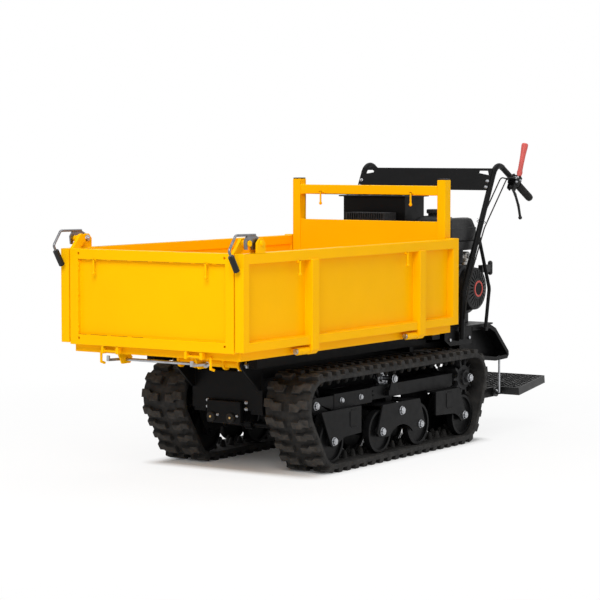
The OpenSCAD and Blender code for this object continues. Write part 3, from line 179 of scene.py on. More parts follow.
def beam_shade_mask(tree):
    """Mask of painted shade: one on the two long beams under the floor frame, where deep shade falls."""
    place = add_node(tree, "ShaderNodeTexCoord")
    split = add_node(tree, "ShaderNodeSeparateXYZ")
    aside = add_node(tree, "ShaderNodeMath", operation="ABSOLUTE")
    low = add_node(tree, "ShaderNodeMath", operation="LESS_THAN")
    behind = add_node(tree, "ShaderNodeMath", operation="LESS_THAN")
    outer = add_node(tree, "ShaderNodeMath", operation="GREATER_THAN")
    rear = add_node(tree, "ShaderNodeMath", operation="MULTIPLY")
    beam = add_node(tree, "ShaderNodeMath", operation="MULTIPLY")
    low.inputs[1].default_value = BEAM_TOP
    behind.inputs[1].default_value = BEAM_FRONT
    outer.inputs[1].default_value = BEAM_INNER
    tree.links.new(place.outputs["Object"], split.inputs["Vector"])
    tree.links.new(split.outputs["X"], behind.inputs[0])
    tree.links.new(split.outputs["Y"], aside.inputs[0])
    tree.links.new(aside.outputs[0], outer.inputs[0])
    tree.links.new(split.outputs["Z"], low.inputs[0])
    tree.links.new(low.outputs[0], rear.inputs[0])
    tree.links.new(behind.outputs[0], rear.inputs[1])
    tree.links.new(rear.outputs[0], beam.inputs[0])
    tree.links.new(outer.outputs[0], beam.inputs[1])
    return beam.outputs[0]


def rubber(name, colour, dust, amount):
    """Matte rubber with dry dust in patches."""
    material, tree, shader = new_material(name)
    patch = spread(tree, noise(tree, scale=26, detail=6), 0, amount, start=0.4, end=0.75)
    tree.links.new(mix_colour(tree, patch, colour, dust), shader.inputs["Base Color"])
    tree.links.new(
        spread(tree, noise(tree, scale=60), low=0.6, high=0.82),
        shader.inputs["Roughness"],
    )
    shader.inputs["Specular IOR Level"].default_value = 0.2
    bump(tree, shader, noise(tree, scale=450, detail=3), strength=0.25, depth=0.0006)
    return material


def ridged_rubber(name, colour, dust):
    """Worn faces of the tread: dry rubber with fine ridges along the belt."""
    material, tree, shader = new_material(name)
    patch = spread(tree, noise(tree, scale=40, detail=6), 0, 1, start=0.35, end=0.7)
    tree.links.new(mix_colour(tree, patch, colour, dust), shader.inputs["Base Color"])
    shader.inputs["Roughness"].default_value = 0.85
    shader.inputs["Specular IOR Level"].default_value = 0.2
    place = add_node(tree, "ShaderNodeTexCoord")
    wave = add_node(tree, "ShaderNodeTexWave", bands_direction="Y")
    wave.inputs["Scale"].default_value = 42
    tree.links.new(place.outputs["Object"], wave.inputs["Vector"])
    bump(tree, shader, wave.outputs["Fac"], strength=0.5, depth=0.0012)
    return material


def metal(name, colour, rough, stretch=(1, 1, 1)):
    """Bare or plated metal with fine marks."""
    grain = 220
    material, tree, shader = new_material(name)
    tone = spread(tree, noise(tree, 45, detail=4, stretch=stretch), 0, 1)
    tree.links.new(
        mix_colour(tree, tone, shade(colour, 0.82), shade(colour, 1.1)),
        shader.inputs["Base Color"],
    )
    tree.links.new(
        spread(tree, noise(tree, grain, detail=3, stretch=stretch), rough - 0.08, rough + 0.1),
        shader.inputs["Roughness"],
    )
    shader.inputs["Metallic"].default_value = 1
    marks = noise(tree, grain * 3, detail=2, stretch=stretch)
    bump(tree, shader, marks, strength=0.08, depth=0.0003)
    return material


def moulded(name, colour, rough, grain=900):
    """Moulded plastic with a fine texture."""
    material, tree, shader = new_material(name)
    tone = spread(tree, noise(tree, scale=12), 0, 1)
    tree.links.new(
        mix_colour(tree, tone, shade(colour, 0.88), shade(colour, 1.12)),
        shader.inputs["Base Color"],
    )
    tree.links.new(
        spread(tree, noise(tree, scale=80), rough - 0.05, rough + 0.07),
        shader.inputs["Roughness"],
    )
    shader.inputs["Specular IOR Level"].default_value = 0.25
    bump(tree, shader, noise(tree, grain, detail=2), strength=0.15, depth=0.0003)
    return material


def cast_iron(name, colour):
    """Rough casting with an uneven shade."""
    material, tree, shader = new_material(name)
    tone = spread(tree, noise(tree, scale=60, detail=5), 0, 1)
    tree.links.new(
        mix_colour(tree, tone, shade(colour, 0.6), shade(colour, 1.3)),
        shader.inputs["Base Color"],
    )
    tree.links.new(
        spread(tree, noise(tree, scale=120), low=0.45, high=0.65),
        shader.inputs["Roughness"],
    )
    shader.inputs["Specular IOR Level"].default_value = 0.25
    bump(tree, shader, noise(tree, scale=320, detail=4), strength=0.35, depth=0.0008)
    return material


YELLOW = (0.98, 0.49, 0.0)
# Black of the black coat, also painted as shade on the long beams under the floor frame
BLACK_AND_SHADE = (0.005, 0.005, 0.0053)
RUBBER = (0.014, 0.0135, 0.013)
DUST = (0.046, 0.042, 0.038)
WORN_RUBBER = (0.027, 0.0255, 0.024)
WORN_DUST = (0.058, 0.053, 0.048)

LOOKS = {
    "yellow": coated("yellow_coat", YELLOW, rough=0.38, sheen=0.04, cloud=0.015),
    # Floor frame's coat, with black painted shade on its long beams
    "yellow_floor": coated(
        "yellow_floor", YELLOW, rough=0.38, sheen=0.04, cloud=0.015, beam_shade_colour=BLACK_AND_SHADE
    ),
    "black": coated("black_coat", BLACK_AND_SHADE, rough=0.4, sheen=0.08, grain=900),
    "rubber": rubber("rubber", RUBBER, DUST, amount=0.25),
    "tread": rubber("tread", RUBBER, DUST, amount=0.5),
    "tread_top": ridged_rubber("tread_top", WORN_RUBBER, WORN_DUST),
    "zinc": metal("zinc", (0.46, 0.47, 0.49), rough=0.34),
    "latch": metal("latch_steel", (0.20, 0.20, 0.21), rough=0.34),
    "grate": coated("grate_coat", (0.035, 0.035, 0.036), rough=0.24, sheen=0.6, grain=900),
    "worn": coated("worn_coat", (0.016, 0.016, 0.0165), rough=0.36, sheen=0.35, grain=900),
    "steel": metal("steel", (0.42, 0.43, 0.45), rough=0.38, stretch=(1, 6, 1)),
    "chrome": metal("chrome", (0.78, 0.78, 0.79), rough=0.12, stretch=(1, 1, 8)),
    "cast": cast_iron("cast", (0.022, 0.022, 0.023)),
    "plastic": moulded("plastic", (0.010, 0.010, 0.0105), rough=0.42),
    "red": moulded("red_plastic", (0.60, 0.10, 0.085), rough=0.38, grain=500),
    "aluminium": metal("aluminium", (0.55, 0.55, 0.54), rough=0.45),
    # Dark brown of the painted shade in the joints between sheets and rails
    "seam": moulded("seam", (0.05, 0.018, 0.0), rough=0.8),
    "brass": metal("brass", (0.62, 0.42, 0.16), rough=0.35),
}


# Finish of the frame's own nodes
WELD_REACH = 0.00002
FLAT_DEGREES = 0.6
BEVEL_DEGREES = 40
EDGE = 0.0012
EDGE_OF = {
    "gate": 0.0022, "side_left": 0.0022, "side_right": 0.0022, "headboard": 0.003,
    "bed_frame": 0.001, "rear_cowl": 0.002, "front_bumper": 0.005, "platform": 0.0008,
    "track_frame_left": 0.002, "track_frame_right": 0.002, "control_panel": 0.0006,
    "hydraulic_tank": 0.002, "cables": 0.0002, "latch_left": 0.0004, "latch_right": 0.0004,
}
LOOK_OF = {
    "starter_cover": "plastic", "muffler": "cast", "fuel_cap": "plastic", "platform": "worn",
    # The floor frame takes the coat with black painted shade on its long beams
    "bed_frame": "yellow_floor", "latch_left": "latch", "latch_right": "latch",
}


def soften(node, width):
    """Rounds the node's edges, as folded and welded sheet has them."""
    weld = node.modifiers.new("weld", "WELD")
    weld.merge_threshold = WELD_REACH
    flat = node.modifiers.new("flat", "DECIMATE")
    flat.decimate_type = "DISSOLVE"
    flat.angle_limit = math.radians(FLAT_DEGREES)
    edge = node.modifiers.new("edge", "BEVEL")
    edge.width = width
    edge.segments = 2
    edge.limit_method = "ANGLE"
    edge.angle_limit = math.radians(BEVEL_DEGREES)
    edge.use_clamp_overlap = False
    edge.loop_slide = False
    node.modifiers.new("normals", "WEIGHTED_NORMAL").keep_sharp = False


def finish_nodes():
    for name, node in NODES.items():
        look = LOOKS[LOOK_OF.get(name, SLOT_OF[name])]
        node.data.materials.clear()
        node.data.materials.append(look)
        soften(node, EDGE_OF.get(name, EDGE))


# Pieces
def to_mesh(name, work, smooth):
    bmesh.ops.recalc_face_normals(work, faces=work.faces)
    mesh = bpy.data.meshes.new(name)
    work.to_mesh(mesh)
    work.free()
    if smooth:
        for face in mesh.polygons:
            face.use_smooth = True
    return mesh


def add_piece(name, work, looks, body, smooth=True):
    """Piece of the shapes in work, which rides on a body."""
    mesh = to_mesh(name, work, smooth)
    piece = bpy.data.objects.new(name, mesh)
    bpy.context.scene.collection.objects.link(piece)
    for look in looks:
        mesh.materials.append(LOOKS[look])
    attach(piece, body)
    return piece


def add_crisp(name, work, looks, body, degrees=35):
    """Smooth piece with crisp edges where its faces meet at more than an angle."""
    piece = add_piece(name, work, looks, body)
    piece.data.set_sharp_from_angle(angle=math.radians(degrees))
    return piece


# Belts: heights above the pitch line, and the depth of the back below it
BELT_BACK = 0.008
BELT_FACE = 0.012
BELT_EDGE = 0.003
BELT_DEGREES = 24
BAND_STEPS = 4
LUG_FACE = 0.029
LUG_INNER = 0.016
LUG_MARGIN = 0.0005
LUG_SHARE = 0.52
LUG_STEP = 0.18
LUG_KNEE = 0.004
LUG_BEND = 0.012
HORN_AT = 0.029
HORN_CORNERS = 12
TEETH = 10
WHEEL_RADII = {"idler": 0.109, "sprocket": 0.099, "rear": 0.098, "front": 0.098}
# Height and inset of each ring of a lug
LUG_LEVELS = ((BELT_FACE - 0.002, 0.0), (LUG_FACE - 0.003, 0.0025), (LUG_FACE, 0.005))
# Height, half length and half width of each ring of a guide horn
HORN_LEVELS = (
    (-0.006, 0.013, 0.015), (-0.022, 0.010, 0.0115),
    (-0.034, 0.0075, 0.008), (-0.038, 0.004, 0.0045),
)


def belt_loop(side):
    """Wheel circles of the belt's pitch line in the X Z plane, in order along the belt."""
    names = {
        "idler": f"idler_{side}_spin",
        "sprocket": f"sprocket_{side}_spin",
        "rear": f"roller_{side}_4_spin",
        "front": f"roller_{side}_1_spin",
    }
    circles = []
    for key, joint in names.items():
        at = JOINTS[joint]["pos_m"]
        circles.append((Vector((at[0], at[2])), WHEEL_RADII[key]))
    return circles


def belt_path(circles):
    """A function from length along the belt and height above its pitch line to a point."""
    count = len(circles)
    normals, lines = [], []
    for i, (centre, radius) in enumerate(circles):
        other, far = circles[(i + 1) % count]
        span = other - centre
        along = span.normalized()
        lean = (radius - far) / span.length
        flat = math.sqrt(1 - lean * lean)
        normals.append(along * lean + Vector((along.y, -along.x)) * flat)
        lines.append(span.length * flat)
    bearings = [math.atan2(n.y, n.x) for n in normals]
    arcs = [
        ((bearings[i] - bearings[i - 1]) % (2 * math.pi)) * circles[i][1]
        for i in range(count)
    ]
    starts = [0.0]
    for i in range(count):
        starts.append(starts[-1] + arcs[i] + lines[i])
    length = starts[-1]

    def spot(s, h):
        s %= length
        i = max(k for k in range(count) if s >= starts[k])
        centre, radius = circles[i]
        gone = s - starts[i]
        if gone <= arcs[i]:
            angle = bearings[i - 1] + gone / radius
            return centre + (radius + h) * Vector((math.cos(angle), math.sin(angle)))
        out = normals[i]
        return centre + (radius + h) * out + (gone - arcs[i]) * Vector((-out.y, out.x))

    return spot, length


def ring_faces(work, rings, closed=True, material=0):
    """Joins rows of points into a skin."""
    rows = len(rings)
    for i in range(rows if closed else rows - 1):
        first, second = rings[i], rings[(i + 1) % rows]
        for k in range(len(first)):
            after = (k + 1) % len(first)
            face = work.faces.new((first[k], first[after], second[after], second[k]))
            face.material_index = material


def belt_band(work, spot, length, steps, y_low, y_high):
    section = [
        (y_low + BELT_EDGE, -BELT_BACK), (y_low, -BELT_BACK + BELT_EDGE),
        (y_low, BELT_FACE - BELT_EDGE), (y_low + BELT_EDGE, BELT_FACE),
        (y_high - BELT_EDGE, BELT_FACE), (y_high, BELT_FACE - BELT_EDGE),
        (y_high, -BELT_BACK + BELT_EDGE), (y_high - BELT_EDGE, -BELT_BACK),
    ]
    rings = []
    for i in range(steps):
        ring = []
        for y, h in section:
            at = spot(i * length / steps, h)
            ring.append(work.verts.new((at.x, y, at.y)))
        rings.append(ring)
    ring_faces(work, rings)


def lug_outline(start, long, middle, outer, side, inset):
    """Stepped outline of one lug: length along the belt, place across it."""
    back = start - LUG_STEP / LUG_SHARE * long
    knee = (LUG_INNER + outer) / 2 - LUG_KNEE
    bend = knee + LUG_BEND
    points = [
        (back + inset, LUG_INNER + inset), (back + long - inset, LUG_INNER + inset),
        (back + long - inset, knee - inset), (start + long - inset, bend - inset),
        (start + long - inset, outer - inset), (start + inset, outer - inset),
        (start + inset, bend + inset), (back + inset, knee + inset),
    ]
    return [(s, middle + side * y) for s, y in points]


def belt_lug(work, spot, start, long, middle, side, half):
    rings = []
    for h, inset in LUG_LEVELS:
        ring = []
        for s, y in lug_outline(start, long, middle, half - LUG_MARGIN, side, inset):
            at = spot(s, h)
            ring.append(work.verts.new((at.x, y, at.y)))
        rings.append(ring)
    ring_faces(work, rings[:2], closed=False, material=0)
    ring_faces(work, rings[1:], closed=False, material=1)
    top = rings[-1]
    for quad in ((0, 1, 2, 7), (7, 2, 3, 6), (6, 3, 4, 5)):
        work.faces.new([top[k] for k in quad]).material_index = 1


def belt_horn(work, spot, s, y):
    rings = []
    for h, along, across in HORN_LEVELS:
        ring = []
        for k in range(HORN_CORNERS):
            angle = 2 * math.pi * k / HORN_CORNERS
            at = spot(s + along * math.cos(angle), h)
            ring.append(work.verts.new((at.x, y + across * math.sin(angle), at.y)))
        rings.append(ring)
    ring_faces(work, rings, closed=False)
    work.faces.new(rings[-1])


def add_belt(side):
    low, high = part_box(f"track_{side}")
    middle = (low.y + high.y) / 2
    half = (high.y - low.y) / 2
    spot, length = belt_path(belt_loop(side))
    wish = 2 * math.pi * WHEEL_RADII["sprocket"] / TEETH
    pitches = round(length / wish)
    pitch = length / pitches
    work = bmesh.new()
    belt_band(work, spot, length, BAND_STEPS * pitches, low.y, high.y)
    for i in range(pitches):
        for hand in (1, -1):
            belt_lug(work, spot, i * pitch, LUG_SHARE * pitch, middle, hand, half)
            belt_horn(work, spot, i * pitch, middle + hand * HORN_AT)
    looks = ["tread", "tread_top"]
    piece = add_crisp(f"belt_{side}", work, looks, "chassis", BELT_DEGREES)
    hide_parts(f"track_{side}")


# Shape helpers
def lathe(work, at, axis, profile, sides, material=0):
    """Turned body: rings of radius and height along an axis, closed at both ends."""
    at = Vector(at)
    axis = Vector(axis).normalized()
    aside = axis.orthogonal().normalized()
    across = axis.cross(aside)
    rings = []
    for radius, height in profile:
        ring = []
        for k in range(sides):
            angle = 2 * math.pi * k / sides
            out = aside * math.cos(angle) + across * math.sin(angle)
            ring.append(work.verts.new(at + axis * height + out * radius))
        rings.append(ring)
    ring_faces(work, rings, closed=False, material=material)
    for ring in (rings[0], rings[-1]):
        work.faces.new(ring).material_index = material


def tube(work, points, radius, sides=6, ripple=0.0):
    """Round bar along points, with rings of two sizes in turn where it ripples."""
    points = [Vector(point) for point in points]
    aside = (points[1] - points[0]).orthogonal().normalized()
    rings = []
    for i, point in enumerate(points):
        along = (points[min(i + 1, len(points) - 1)] - points[max(i - 1, 0)]).normalized()
        aside = (aside - along * aside.dot(along)).normalized()
        across = along.cross(aside)
        size = radius * (1 + ripple * (i % 2))
        ring = []
        for k in range(sides):
            angle = 2 * math.pi * k / sides
            out = aside * math.cos(angle) + across * math.sin(angle)
            ring.append(work.verts.new(point + out * size))
        rings.append(ring)
    ring_faces(work, rings, closed=False)
    for ring in (rings[0], rings[-1]):
        work.faces.new(ring)


BEAD_STEP = 0.003
BEAD_RIPPLE = 0.3


def bead(work, start, end, radius):
    """Weld bead: a line of small ripples."""
    start, end = Vector(start), Vector(end)
    count = max(4, round((end - start).length / BEAD_STEP))
    points = [start.lerp(end, k / count) for k in range(count + 1)]
    tube(work, points, radius, ripple=BEAD_RIPPLE)


WASHER = 0.0022
WASHER_SHARE = 1.12


def hex_bolt(work, at, axis, corner, thick):
    """Washer and hex head with a chamfered crown and a stud end, seated at a point."""
    rim = corner * WASHER_SHARE
    lathe(work, at, axis, [
        (rim, 0), (rim, WASHER * 0.7), (rim - WASHER * 0.4, WASHER), (corner * 0.5, WASHER),
    ], 28)
    top = WASHER + thick
    lathe(work, at, axis, [
        (corner, WASHER * 0.9), (corner, top - thick * 0.2), (corner * 0.84, top),
    ], 6)
    lathe(work, at, axis, [
        (corner * 0.5, top - 0.001), (corner * 0.5, top + 0.0016), (corner * 0.4, top + 0.0024),
    ], 18)


CORNER_STEPS = 6


def rounded(centre, half, radius, z):
    """Ring of a rounded rectangle at a height."""
    ring = []
    for quarter, (sx, sy) in enumerate(((1, 1), (-1, 1), (-1, -1), (1, -1))):
        for k in range(CORNER_STEPS + 1):
            angle = math.pi / 2 * (quarter + k / CORNER_STEPS)
            ring.append(Vector((
                centre[0] + sx * (half[0] - radius) + radius * math.cos(angle),
                centre[1] + sy * (half[1] - radius) + radius * math.sin(angle),
                z,
            )))
    return ring


def loft(work, centre, sections):
    """Skin over rounded rectangles: height, half width, half depth and corner radius each."""
    rings = [
        [work.verts.new(point) for point in rounded(centre, (wide, deep), radius, z)]
        for z, wide, deep, radius in sections
    ]
    ring_faces(work, rings, closed=False)
    for ring in (rings[0], rings[-1]):
        work.faces.new(ring)


def drawn_in(foot, wide, deep, steps):
    """Sections for loft: rise above the foot, how far each half is drawn in, corner radius."""
    return [(foot + rise, wide - x, deep - y, radius) for rise, x, y, radius in steps]


# Fasteners: a head is its corner radius and its thickness
WHEEL_HEAD = (0.0157, 0.0085)
WHEEL_SEAT = 0.0097
ROCKER_HEAD = (0.0167, 0.0085)
ROCKER_SEAT = 0.008
SPROCKET_HEAD = (0.017, 0.009)
SPROCKET_SEAT = 0.006
YOKE_HEAD = (0.0105, 0.007)
YOKE_FACE = 0.060
YOKE_BOLT_Z = 0.282
YOKE_BOLTS = (0.185, 0.330)
LATCH_HEAD = (0.0117, 0.006)
LATCH_FACE = 0.404


def add_bolts(name, body, bolts):
    """Group of zinc bolts on one body: seat, axis and head each."""
    work = bmesh.new()
    for at, axis, head in bolts:
        hex_bolt(work, Vector(at), Vector(axis), *head)
    add_crisp(name, work, ["zinc"], body)


def add_axle_bolt(node, joint, hand, head, depth):
    """Bolt on the axis of a wheel or rocker, some depth inside its outer end."""
    low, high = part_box(node)
    at = JOINTS[joint]["pos_m"]
    face = (high.y if hand > 0 else -low.y) - depth
    seat = (at[0], hand * face, at[2])
    add_bolts(f"bolt_{node}", node, [(seat, (0, hand, 0), head)])


def add_wheel_bolts():
    for side, hand in SIDES.items():
        wheels = [f"idler_{side}", f"carrier_{side}"]
        wheels += [f"roller_{side}_{n}" for n in range(1, 5)]
        for wheel in wheels:
            add_axle_bolt(wheel, f"{wheel}_spin", hand, WHEEL_HEAD, WHEEL_SEAT)
        rocker, sprocket = f"rocker_{side}", f"sprocket_{side}"
        add_axle_bolt(rocker, f"{rocker}_rock", hand, ROCKER_HEAD, ROCKER_SEAT)
        add_axle_bolt(sprocket, f"{sprocket}_spin", hand, SPROCKET_HEAD, SPROCKET_SEAT)


def add_yoke_bolts():
    """Bolts that clamp the idler's slide in the front of each track frame."""
    for side, hand in SIDES.items():
        idler = JOINTS[f"idler_{side}_spin"]["pos_m"]
        low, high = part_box(f"track_{side}")
        middle = (low.y + high.y) / 2
        bolts = []
        for back in YOKE_BOLTS:
            seat = (idler[0] - back, middle + hand * YOKE_FACE, YOKE_BOLT_Z)
            bolts.append((seat, (0, hand, 0), YOKE_HEAD))
        add_bolts(f"yoke_bolts_{side}", "chassis", bolts)


def add_latch_bolts():
    """Pivot bolt of each latch, with its head inside the drop side."""
    for side, hand in SIDES.items():
        at = JOINTS[f"latch_{side}_lift"]["pos_m"]
        seat = (at[0], hand * LATCH_FACE, at[2])
        add_bolts(f"latch_bolt_{side}", f"side_{side}", [(seat, (0, -hand, 0), LATCH_HEAD)])


# Handlebar details
BAR_KNEE = Vector((-0.5499, 0, 0.650))
BAR_CROWN = Vector((-0.8519, 0, 1.241))
BAR_WAY = (BAR_CROWN - BAR_KNEE).normalized()
BAR_OUT = Vector((BAR_WAY.z, 0, -BAR_WAY.x))
BAR_RADIUS = 0.0127
BAR_HALF = 0.345
PANEL_FOOT = 0.510
PANEL_CLEAR = 0.0007
PANEL_SHEET = 0.003
PANEL_FACE = BAR_RADIUS + PANEL_CLEAR + PANEL_SHEET
PANEL_HEAD = (0.0065, 0.005)
PANEL_BOLTS = (0.014, 0.044)
PANEL_BOLT_IN = 0.010
TIES = (0.18, 0.36)
TIE_OUT = 0.0155
TIE_ASIDE = 0.0205
TIE_RADIUS = 0.0014
TIE_CORNERS = 24
TAIL_FOOT = 0.015
TAIL_BEND = 0.012
TAIL_REACH = 0.026
TAIL_DROP = 0.004
TAIL_RADIUS = 0.0011


def on_bar(length, out, y):
    """Point along the upper bar, some way out of its line and at a place across."""
    return BAR_KNEE + BAR_WAY * length + BAR_OUT * out + Vector((0, y, 0))


def add_panel_bolts():
    bolts = []
    for hand in SIDES.values():
        for height in PANEL_BOLTS:
            seat = on_bar(PANEL_FOOT + height, PANEL_FACE, hand * (BAR_HALF - PANEL_BOLT_IN))
            bolts.append((seat, BAR_OUT, PANEL_HEAD))
    add_bolts("panel_bolts", "chassis", bolts)


def add_cable_ties():
    """Ties that hold the cables to the bars, with their loose tails."""
    work = bmesh.new()
    for hand in SIDES.values():
        for length in TIES:
            middle = on_bar(length, 0, hand * BAR_HALF)
            ring = []
            for k in range(TIE_CORNERS):
                angle = 2 * math.pi * k / TIE_CORNERS
                aside = Vector((0, TIE_ASIDE * math.sin(angle), 0))
                ring.append(middle + (BAR_OUT * (TIE_OUT * math.cos(angle)) + aside))
            tube(work, [*ring, ring[0]], TIE_RADIUS)
            foot = middle + BAR_OUT * TAIL_FOOT
            bend = foot + BAR_OUT * TAIL_BEND
            tip = foot + BAR_OUT * TAIL_REACH - BAR_WAY * TAIL_DROP
            tube(work, [foot, bend, tip], TAIL_RADIUS)
    add_piece("cable_ties", work, ["plastic"], "chassis")


# Clamps of the levers: a place is along the bar's end and square to it
BLOCK = Vector((-1.0253, 0, 1.1484))
BLOCK_TILT = math.radians(28.1)
BLOCK_WAY = Vector((math.cos(BLOCK_TILT), 0, math.sin(BLOCK_TILT)))
BLOCK_UP = Vector((-math.sin(BLOCK_TILT), 0, math.cos(BLOCK_TILT)))
BLOCK_FACE = 0.0198
CABLE_BESIDE = 0.0166
CABLE_BEND = (0.096, -0.030)
ADJUSTER_AT = 0.0275
ADJUSTER_STEP = 0.004
NUT_BACK = 0.003
NUT = [(0.0066, 0), (0.0066, 0.006), (0.0058, 0.007)]
SLEEVE = [(0.0050, 0.003), (0.0054, 0.005), (0.0054, 0.013), (0.0042, 0.019), (0.0033, 0.030)]
SIDE_SCREWS = ((-0.012, 0.012), (0.018, 0.012), (0.018, -0.012))
SIDE_HEAD = (0.0048, 0.0034)
TOP_SCREWS = (-0.014, 0.020)
TOP_CUP = [(0.0075, 0), (0.0075, 0.004), (0.0062, 0.006), (0.003, 0.006)]
TOP_HEX = [(0.0042, 0.0055), (0.0042, 0.0085), (0.0030, 0.0095)]


def on_block(along, up, y):
    """Point of a lever clamp, along the bar and square to it."""
    return BLOCK + BLOCK_WAY * along + BLOCK_UP * up + Vector((0, y, 0))


def add_clamp_details():
    """Cable adjusters and screws of each clamp."""
    black = bmesh.new()
    bright = bmesh.new()
    for hand in SIDES.values():
        for side in (-1, 1):
            y = hand * (BAR_HALF + side * CABLE_BESIDE)
            at = on_block(ADJUSTER_AT, ADJUSTER_STEP * side, y)
            way = (on_block(*CABLE_BEND, y) - at).normalized()
            lathe(bright, at - way * NUT_BACK, way, NUT, 6)
            lathe(black, at, way, SLEEVE, 20)
        for along, up in SIDE_SCREWS:
            seat = on_block(along, up, hand * (BAR_HALF + BLOCK_FACE))
            hex_bolt(bright, seat, Vector((0, hand, 0)), *SIDE_HEAD)
        for along in TOP_SCREWS:
            seat = on_block(along, BLOCK_FACE, hand * BAR_HALF)
            lathe(black, seat, BLOCK_UP, TOP_CUP, 20)
            lathe(bright, seat, BLOCK_UP, TOP_HEX, 6)
    add_crisp("clamp_adjusters", black, ["plastic"], "chassis")
    add_crisp("clamp_screws", bright, ["zinc"], "chassis")


# Engine details: a turned profile is a list of radius and height
STARTER = Vector((-0.71789, 0.330, 0.669))
BADGE_RIM = [
    (0.0365, -0.001), (0.0365, 0.0022), (0.0352, 0.0032), (0.0322, 0.0032), (0.0312, 0.0022),
]
BADGE_PLATE = [(0.0312, 0.0), (0.0312, 0.0019), (0.027, 0.0024), (0.012, 0.0026)]


def add_starter_badge():
    """Bare badge plate with a raised red rim."""
    work = bmesh.new()
    lathe(work, STARTER, (0, 1, 0), BADGE_RIM, 48, 0)
    lathe(work, STARTER, (0, 1, 0), BADGE_PLATE, 48, 1)
    add_crisp("starter_badge", work, ["red", "black"], "chassis")


CLEANER_STEP = 0.014
CLEANER_HALF = 0.040
CLEANER_TALL = 0.104
CLEANER_COVER = (
    (0, 0.008, 0.008, 0.010), (0.006, 0.001, 0.001, 0.014), (0.052, 0.001, 0.001, 0.014),
    (0.053, 0, 0, 0.015), (0.060, 0, 0, 0.015), (0.062, 0.004, 0.004, 0.014),
    (0.090, 0.016, 0.010, 0.014), (0.099, 0.022, 0.014, 0.013), (0.104, 0.034, 0.024, 0.012),
)
CLEANER_BOX_AT = (0.092, 0.0415)
CLEANER_NECK_AT = (0.1465, 0.045)
CLEANER_DEGREES = 40


def add_air_cleaner():
    """Housing with a domed cover, a lower box that stands out at the back, and its neck."""
    low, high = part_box("air_cleaner")
    wide, deep = (high.x - low.x - CLEANER_STEP) / 2, CLEANER_HALF
    base = high.z - CLEANER_TALL
    work = bmesh.new()
    cover = drawn_in(base, wide, deep, CLEANER_COVER)
    loft(work, (high.x - wide, high.y - deep), cover)
    loft(work, (low.x + CLEANER_BOX_AT[0], high.y - CLEANER_BOX_AT[1]), [
        (base - 0.041, 0.084, 0.028, 0.008), (base - 0.037, 0.091, 0.035, 0.010),
        (base - 0.004, 0.092, 0.0355, 0.010), (base + 0.001, 0.088, 0.032, 0.010),
    ])
    loft(work, (low.x + CLEANER_NECK_AT[0], high.y - CLEANER_NECK_AT[1]), [
        (low.z, 0.028, 0.026, 0.008), (low.z + 0.004, 0.032, 0.032, 0.008),
        (base - 0.040, 0.032, 0.032, 0.008),
    ])
    looks = ["plastic"]
    piece = add_crisp("air_cleaner_box", work, looks, "chassis", CLEANER_DEGREES)
    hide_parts("air_cleaner")


TANK_SHELL = (
    (0, 0.020, 0.020, 0.030), (0.006, 0.008, 0.008, 0.036), (0.018, 0.003, 0.003, 0.038),
    (0.046, 0.003, 0.003, 0.038), (0.047, 0, 0, 0.040), (0.052, 0, 0, 0.040),
    (0.053, 0.003, 0.003, 0.038), (0.082, 0.006, 0.006, 0.038), (0.098, 0.014, 0.014, 0.036),
    (0.110, 0.030, 0.030, 0.032), (0.117, 0.052, 0.050, 0.020),
)
TANK_NECK = [(0.034, 0), (0.032, 0.006), (0.030, 0.010), (0.030, 0.018)]
TANK_NECK_RISE = 0.108
TANK_DEGREES = 50


def add_fuel_tank():
    """Two pressed halves with a seam flange, and the neck under the cap."""
    low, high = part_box("fuel_tank")
    centre = ((low.x + high.x) / 2, (low.y + high.y) / 2)
    wide, deep = (high.x - low.x) / 2, (high.y - low.y) / 2
    cap = JOINTS["fuel_cap_turn"]["pos_m"]
    work = bmesh.new()
    loft(work, centre, drawn_in(low.z, wide, deep, TANK_SHELL))
    lathe(work, (cap[0], cap[1], low.z + TANK_NECK_RISE), (0, 0, 1), TANK_NECK, 32)
    piece = add_crisp("fuel_tank_shell", work, ["black"], "chassis", TANK_DEGREES)
    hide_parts("fuel_tank")


CARBURETTOR_AT = (0.070, 0.032, 0.030)
CARBURETTOR_LID_AT = Vector((0.004, 0.016, 0.002))
CARBURETTOR_LID = [(0.012, 0), (0.012, 0.010), (0.009, 0.012), (0.004, 0.016)]
CARBURETTOR_BOWL_AT = Vector((0, 0, -0.040))
CARBURETTOR_BOWL = [(0.008, 0), (0.017, 0.004), (0.017, 0.014), (0.012, 0.018)]
CARBURETTOR_PIPE = [(0.010, 0.012), (0.010, 0.050)]


def add_carburettor():
    """Bright castings between the air cleaner and the starter."""
    low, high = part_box("air_cleaner")
    back, inside, rise = CARBURETTOR_AT
    at = Vector((low.x + back, high.y - inside, low.z + rise))
    work = bmesh.new()
    loft(work, (at.x, at.y), [
        (at.z - 0.026, 0.012, 0.014, 0.005), (at.z - 0.022, 0.016, 0.018, 0.006),
        (at.z + 0.016, 0.016, 0.018, 0.006), (at.z + 0.022, 0.011, 0.013, 0.005),
    ])
    lathe(work, at + CARBURETTOR_LID_AT, (0, 1, 0), CARBURETTOR_LID, 20)
    lathe(work, at + CARBURETTOR_BOWL_AT, (0, 0, 1), CARBURETTOR_BOWL, 24)
    lathe(work, at, (1, 0, 0), CARBURETTOR_PIPE, 20)
    add_crisp("carburettor", work, ["aluminium"], "chassis")


# Red lever with a flared, rounded end
LEVER_WAY = Vector((-0.36, 0, 0.933)).normalized()
LEVER_REACH = 0.175
LEVER_STEM = [
    (0.0080, 0.000), (0.0105, 0.014), (0.0135, 0.034), (0.0124, 0.039), (0.0112, 0.046),
    (0.0114, 0.080), (0.0126, 0.120), (0.0146, 0.148), (0.0158, LEVER_REACH - 0.010),
    (0.0152, LEVER_REACH - 0.004), (0.0130, LEVER_REACH - 0.001), (0.0092, LEVER_REACH),
]
LEVER_HUB = [(0.0088, 0), (0.0100, 0.0012), (0.0100, 0.0168), (0.0088, 0.018)]
LEVER_HUB_HALF = 0.009
LEVER_DEGREES = 40


